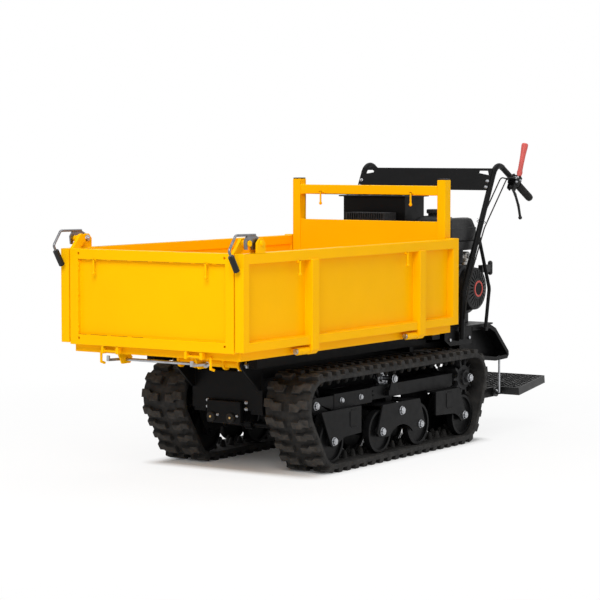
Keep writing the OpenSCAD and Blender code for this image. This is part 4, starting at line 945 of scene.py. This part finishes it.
def add_drive_handle():
    at = Vector(JOINTS["drive_lever_swing"]["pos_m"])
    work = bmesh.new()
    lathe(work, at, LEVER_WAY, LEVER_STEM, 32)
    lathe(work, at - Vector((0, LEVER_HUB_HALF, 0)), (0, 1, 0), LEVER_HUB, 28)
    piece = add_crisp("drive_handle", work, ["red"], "drive_lever", LEVER_DEGREES)
    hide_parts("drive_lever")


# Rubber stops and bolts of the bumper box
STOPS_Y = (-0.058, 0.038)
STOP_Z = 0.220
STOP = [(0.0190, -0.0005), (0.0195, 0.002), (0.0195, 0.007), (0.0180, 0.0095), (0.007, 0.010)]
STOP_PIN = [(0.0045, 0.009), (0.0045, 0.0106), (0.0034, 0.0112), (0.0016, 0.0106)]
STOP_BOLT_ASIDE = 0.031
STOP_BOLT_UP = 0.009
STOP_HEAD = (0.0045, 0.004)
BUMPER_BOLT_ASIDE = 0.012
BUMPER_BOLTS_DOWN = (0.006, 0.032)
BUMPER_HEAD = (0.0065, 0.005)


def add_bumper_stops():
    low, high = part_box("front_bumper")
    ahead = (1, 0, 0)
    work = bmesh.new()
    bolts = []
    for y in STOPS_Y:
        at = Vector((high.x, y, STOP_Z))
        lathe(work, at, ahead, STOP, 36, 0)
        lathe(work, at, ahead, STOP_PIN, 20, 1)
        bolts.append(((high.x, y + STOP_BOLT_ASIDE, STOP_Z + STOP_BOLT_UP), ahead, STOP_HEAD))
    add_crisp("bumper_stops", work, ["rubber", "brass"], "chassis")
    for y in (low.y - BUMPER_BOLT_ASIDE, high.y + BUMPER_BOLT_ASIDE):
        for down in BUMPER_BOLTS_DOWN:
            bolts.append(((low.x, y, high.z - down), ahead, BUMPER_HEAD))
    add_bolts("bumper_bolts", "chassis", bolts)


# Walking grate of the platform
GRATE_PITCH = 0.024
GRATE_CELL = 0.060
GRATE_SLOPE = math.radians(8)
GRATE_START = 0.036
GRATE_MARGIN = 0.005
GRATE_LIFT = 0.0186
GRATE_WEAVE = 0.0008
GRATE_REACH = 0.96
STRAND = 0.0017


def add_grate():
    """Stretched-metal sheet: rows of zigzag strands that meet at their knuckles."""
    joint = JOINTS["platform_fold"]
    low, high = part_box("platform")
    place = Matrix.Translation(joint["pos_m"]) @ Matrix.Rotation(GRATE_SLOPE, 4, "Y")
    depth = (Vector(joint["pos_m"]).x - low.x) / math.cos(GRATE_SLOPE)
    half = (high.y - low.y) / 2 - GRATE_MARGIN
    rows = int((depth - GRATE_START) / GRATE_PITCH)
    cells = int(2 * half / GRATE_CELL)
    work = bmesh.new()
    for row in range(rows):
        for flip in (1, -1):
            points = []
            for k in range(2 * cells + 1):
                swing = GRATE_PITCH / 2 * (1 if (k % 2 == 0) else -1) * flip
                x = -GRATE_START - GRATE_PITCH * (row + 0.5) + swing * GRATE_REACH
                y = -half + 2 * half * k / (2 * cells)
                lift = GRATE_LIFT + GRATE_WEAVE * flip
                points.append(place @ Vector((x, y, lift)))
            tube(work, points, STRAND, sides=4)
    add_piece("platform_grate", work, ["grate"], "platform", smooth=False)


# Weld seams
FORK_FRONT_BACK = 0.120
FORK_REAR_AHEAD = 0.160
FORK_UP = 0.110
FORK_WELD = 0.062
FORK_WELD_OUT = 0.004
FORK_WELD_FAR = 0.055
FORK_WELD_NEAR = 0.008
FORK_BEADS = (0.0022, 0.0016)


def add_fork_welds():
    """Beads where the outriggers meet the fork plates."""
    wide, thin = FORK_BEADS
    for side, hand in SIDES.items():
        low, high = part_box(f"track_frame_{side}")
        face = high.y if hand > 0 else low.y
        front = JOINTS[f"roller_{side}_1_spin"]["pos_m"]
        rear = JOINTS[f"roller_{side}_4_spin"]["pos_m"]
        corners = (
            (front[0] - FORK_FRONT_BACK, front[2] + FORK_UP),
            (rear[0] + FORK_REAR_AHEAD, rear[2] + FORK_UP),
        )
        work = bmesh.new()
        for x, top in corners:
            foot = top - FORK_WELD
            bead(work, (x, face, top), (x, face, foot), wide)
            far, near = x - FORK_WELD_FAR, x - FORK_WELD_NEAR
            for z in (top + FORK_WELD_OUT, foot - FORK_WELD_OUT):
                bead(work, (far, face, z), (near, face, z), thin)
        add_piece(f"fork_welds_{side}", work, ["black"], "chassis")


GATE_HALF = 0.395
GATE_POST = 0.040
GATE_SHEET_IN = 0.018
PANEL_FLOOR = 0.573
PANEL_TOP = 0.868
POST_STITCHES = (0.06, 0.13, 0.46, 0.54, 0.87, 0.94)
POST_STITCH_HALF = 0.006
POST_BEAD = 0.0026
RAIL_STITCHES = 7
RAIL_STITCH_HALF = 0.009
RAIL_BEAD = 0.0022


def add_gate_welds():
    """Stitches between the gate's sheet and its posts and rails."""
    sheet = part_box("gate")[1].x - GATE_SHEET_IN
    half = GATE_HALF - GATE_POST
    work = bmesh.new()
    for hand in SIDES.values():
        y = hand * half
        for share in POST_STITCHES:
            z = PANEL_FLOOR + (PANEL_TOP - PANEL_FLOOR) * share
            foot, top = z - POST_STITCH_HALF, z + POST_STITCH_HALF
            bead(work, (sheet, y, foot), (sheet, y, top), POST_BEAD)
    for k in range(RAIL_STITCHES):
        y = -half + 2 * half * (k + 0.5) / RAIL_STITCHES
        first, last = y - RAIL_STITCH_HALF, y + RAIL_STITCH_HALF
        for z in (PANEL_FLOOR, PANEL_TOP):
            bead(work, (sheet, first, z), (sheet, last, z), RAIL_BEAD)
    add_piece("gate_welds", work, ["yellow"], "gate")


# Joints between sheets and rails, darkened with thin strips of painted shade where they lie in shadow
SEAM_SHADE = 0.0011
SHEET_FACE = 0.412
STRAPS = (0.79011, -0.02989)
STRAP_HALF = 0.025
SIDE_POST_FRONT = 0.040
SIDE_POST_REAR = 0.048
LOW_SEAM_SHADE = SEAM_SHADE * 0.6
LOW_SEAM_Z = 0.574
LOW_SEAM_END = 0.1


def add_gate_seam_shade():
    """Painted shade in the joint under the gate's top rail, and a finer strip of it along part of its lower rail.
    """
    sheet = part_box("gate")[1].x - GATE_SHEET_IN
    half = GATE_HALF - GATE_POST
    end = -half * LOW_SEAM_END
    work = bmesh.new()
    tube(work, [(sheet, -half, PANEL_TOP), (sheet, half, PANEL_TOP)], SEAM_SHADE)
    tube(work, [(sheet, -half, LOW_SEAM_Z), (sheet, end, LOW_SEAM_Z)], LOW_SEAM_SHADE)
    add_piece("gate_seams", work, ["seam"], "gate")


def add_side_seam_shade():
    """Painted shade in the joint under the top rail of each side, between its posts and straps."""
    for side, hand in SIDES.items():
        low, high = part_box(f"side_{side}")
        face = hand * SHEET_FACE
        stops = [high.x - SIDE_POST_FRONT, *STRAPS, low.x + SIDE_POST_REAR]
        work = bmesh.new()
        for front, back in zip(stops, stops[1:]):
            first = front - (STRAP_HALF if front in STRAPS else 0)
            last = back + (STRAP_HALF if back in STRAPS else 0)
            tube(work, [(first, face, PANEL_TOP), (last, face, PANEL_TOP)], SEAM_SHADE)
        add_piece(f"side_seam_shade_{side}", work, ["seam"], f"side_{side}")


STRAP_WELDS = (0.590, 0.606, 0.640, 0.742, 0.850)
STRAP_WELD_HALF = 0.005
STRAP_BEAD = 0.0024


def add_strap_welds():
    """Short welds along the straps of the drop sides."""
    for side, hand in SIDES.items():
        face = hand * SHEET_FACE
        work = bmesh.new()
        for strap in STRAPS:
            edge = strap + STRAP_HALF
            for z in STRAP_WELDS:
                foot, top = z - STRAP_WELD_HALF, z + STRAP_WELD_HALF
                bead(work, (edge, face, foot), (edge, face, top), STRAP_BEAD)
        add_piece(f"strap_welds_{side}", work, ["yellow"], f"side_{side}")


# Stage and light
FLOOR_SIZE = 40
FLOOR_Z = -0.0005
FLOOR_COLOUR = (0.92, 0.92, 0.92, 1)
STAND_MIDDLE = 0.05
STAND_HALF = (0.66, 0.36)
STAND_EDGE = 0.10
WHITE = (1, 1, 1, 1)
SKY = 0.38
AIM = (0, 0, 0.6)


def add_floor():
    """Pale floor that takes the part's shadow and fades into the plain backdrop."""
    bpy.ops.mesh.primitive_plane_add(size=FLOOR_SIZE, location=(0, 0, FLOOR_Z))
    floor = bpy.context.object
    floor.name = "floor"
    material, tree, shader = new_material("floor")
    shader.inputs["Base Color"].default_value = FLOOR_COLOUR
    shader.inputs["Roughness"].default_value = 0.9
    shader.inputs["Specular IOR Level"].default_value = 0.1
    glow = add_node(tree, "ShaderNodeEmission")
    mixed = add_node(tree, "ShaderNodeMixShader")
    share = add_node(tree, "ShaderNodeMath", operation="MULTIPLY")
    place = add_node(tree, "ShaderNodeTexCoord")
    away = add_node(tree, "ShaderNodeVectorMath", operation="LENGTH")
    tree.links.new(place.outputs["Object"], away.inputs[0])
    plain = add_node(tree, "ShaderNodeMath", operation="MULTIPLY")
    fade = spread(tree, away.outputs["Value"], low=0.86, high=1, start=1.2, end=3.2)
    tree.links.new(fade, plain.inputs[0])
    tree.links.new(beside_part(tree), plain.inputs[1])
    tree.links.new(plain.outputs[0], share.inputs[1])
    tree.links.new(plain_rays(tree), share.inputs[0])
    tree.links.new(share.outputs[0], mixed.inputs["Fac"])
    tree.links.new(shader.outputs["BSDF"], mixed.inputs[1])
    tree.links.new(glow.outputs["Emission"], mixed.inputs[2])
    tree.links.new(mixed.outputs["Shader"], tree.nodes["Material Output"].inputs["Surface"])
    floor.data.materials.append(material)


def beside_part(tree):
    """Nearly none under the part, where the floor lies in its shadow, and one beside it."""
    place = add_node(tree, "ShaderNodeTexCoord")
    shift = add_node(tree, "ShaderNodeVectorMath", operation="SUBTRACT")
    shift.inputs[1].default_value = (STAND_MIDDLE, 0, 0)
    size = add_node(tree, "ShaderNodeVectorMath", operation="ABSOLUTE")
    past = add_node(tree, "ShaderNodeVectorMath", operation="SUBTRACT")
    past.inputs[1].default_value = (*STAND_HALF, 0)
    only = add_node(tree, "ShaderNodeVectorMath", operation="MAXIMUM")
    only.inputs[1].default_value = (0, 0, 0)
    length = add_node(tree, "ShaderNodeVectorMath", operation="LENGTH")
    tree.links.new(place.outputs["Object"], shift.inputs[0])
    tree.links.new(shift.outputs["Vector"], size.inputs[0])
    tree.links.new(size.outputs["Vector"], past.inputs[0])
    tree.links.new(past.outputs["Vector"], only.inputs[0])
    tree.links.new(only.outputs["Vector"], length.inputs[0])
    return spread(tree, length.outputs["Value"], low=0.04, high=1, start=0, end=STAND_EDGE)


def plain_rays(tree):
    """One for the rays that show the plain backdrop: seen straight, mirrored or passed on."""
    path = add_node(tree, "ShaderNodeLightPath")
    mirrored = add_node(tree, "ShaderNodeMath", operation="MAXIMUM")
    through = add_node(tree, "ShaderNodeMath", operation="MAXIMUM")
    tree.links.new(path.outputs["Is Camera Ray"], mirrored.inputs[0])
    tree.links.new(path.outputs["Is Glossy Ray"], mirrored.inputs[1])
    tree.links.new(mirrored.outputs[0], through.inputs[0])
    tree.links.new(path.outputs["Is Transmission Ray"], through.inputs[1])
    return through.outputs[0]


def add_world():
    """Soft light from all sides, and a plain white backdrop."""
    world = bpy.data.worlds.new("studio")
    world.use_nodes = True
    bpy.context.scene.world = world
    tree = world.node_tree
    soft = tree.nodes["Background"]
    soft.inputs["Color"].default_value = WHITE
    soft.inputs["Strength"].default_value = SKY
    white = add_node(tree, "ShaderNodeBackground")
    white.inputs["Color"].default_value = WHITE
    white.inputs["Strength"].default_value = 1
    mixed = add_node(tree, "ShaderNodeMixShader")
    tree.links.new(plain_rays(tree), mixed.inputs["Fac"])
    tree.links.new(soft.outputs["Background"], mixed.inputs[1])
    tree.links.new(white.outputs["Background"], mixed.inputs[2])
    tree.links.new(mixed.outputs["Shader"], tree.nodes["World Output"].inputs["Surface"])


def add_lamp(name, at, size, power):
    data = bpy.data.lights.new(name, "AREA")
    data.size = size
    data.energy = power
    lamp = bpy.data.objects.new(name, data)
    lamp.location = at
    lamp.rotation_euler = (Vector(AIM) - Vector(at)).to_track_quat("-Z", "Y").to_euler()
    bpy.context.scene.collection.objects.link(lamp)


def add_lights():
    add_lamp("key", at=(5.0, 2.0, 4.2), size=3.0, power=245)
    add_lamp("side", at=(-1.5, 5.5, 3.0), size=3.0, power=40)
    add_lamp("top", at=(-0.5, -0.5, 5.0), size=4.0, power=110)


def main():
    add_camera()
    add_world()
    add_lights()
    add_floor()
    finish_nodes()
    for side in SIDES:
        add_belt(side)
    add_wheel_bolts()
    add_latch_bolts()
    add_panel_bolts()
    add_cable_ties()
    add_clamp_details()
    add_starter_badge()
    add_air_cleaner()
    add_fuel_tank()
    add_carburettor()
    add_drive_handle()
    add_bumper_stops()
    add_grate()
    add_fork_welds()
    add_gate_welds()
    add_gate_seam_shade()
    add_side_seam_shade()
    add_strap_welds()
    add_yoke_bolts()
    bpy.context.scene.view_settings.view_transform = "Standard"


main()
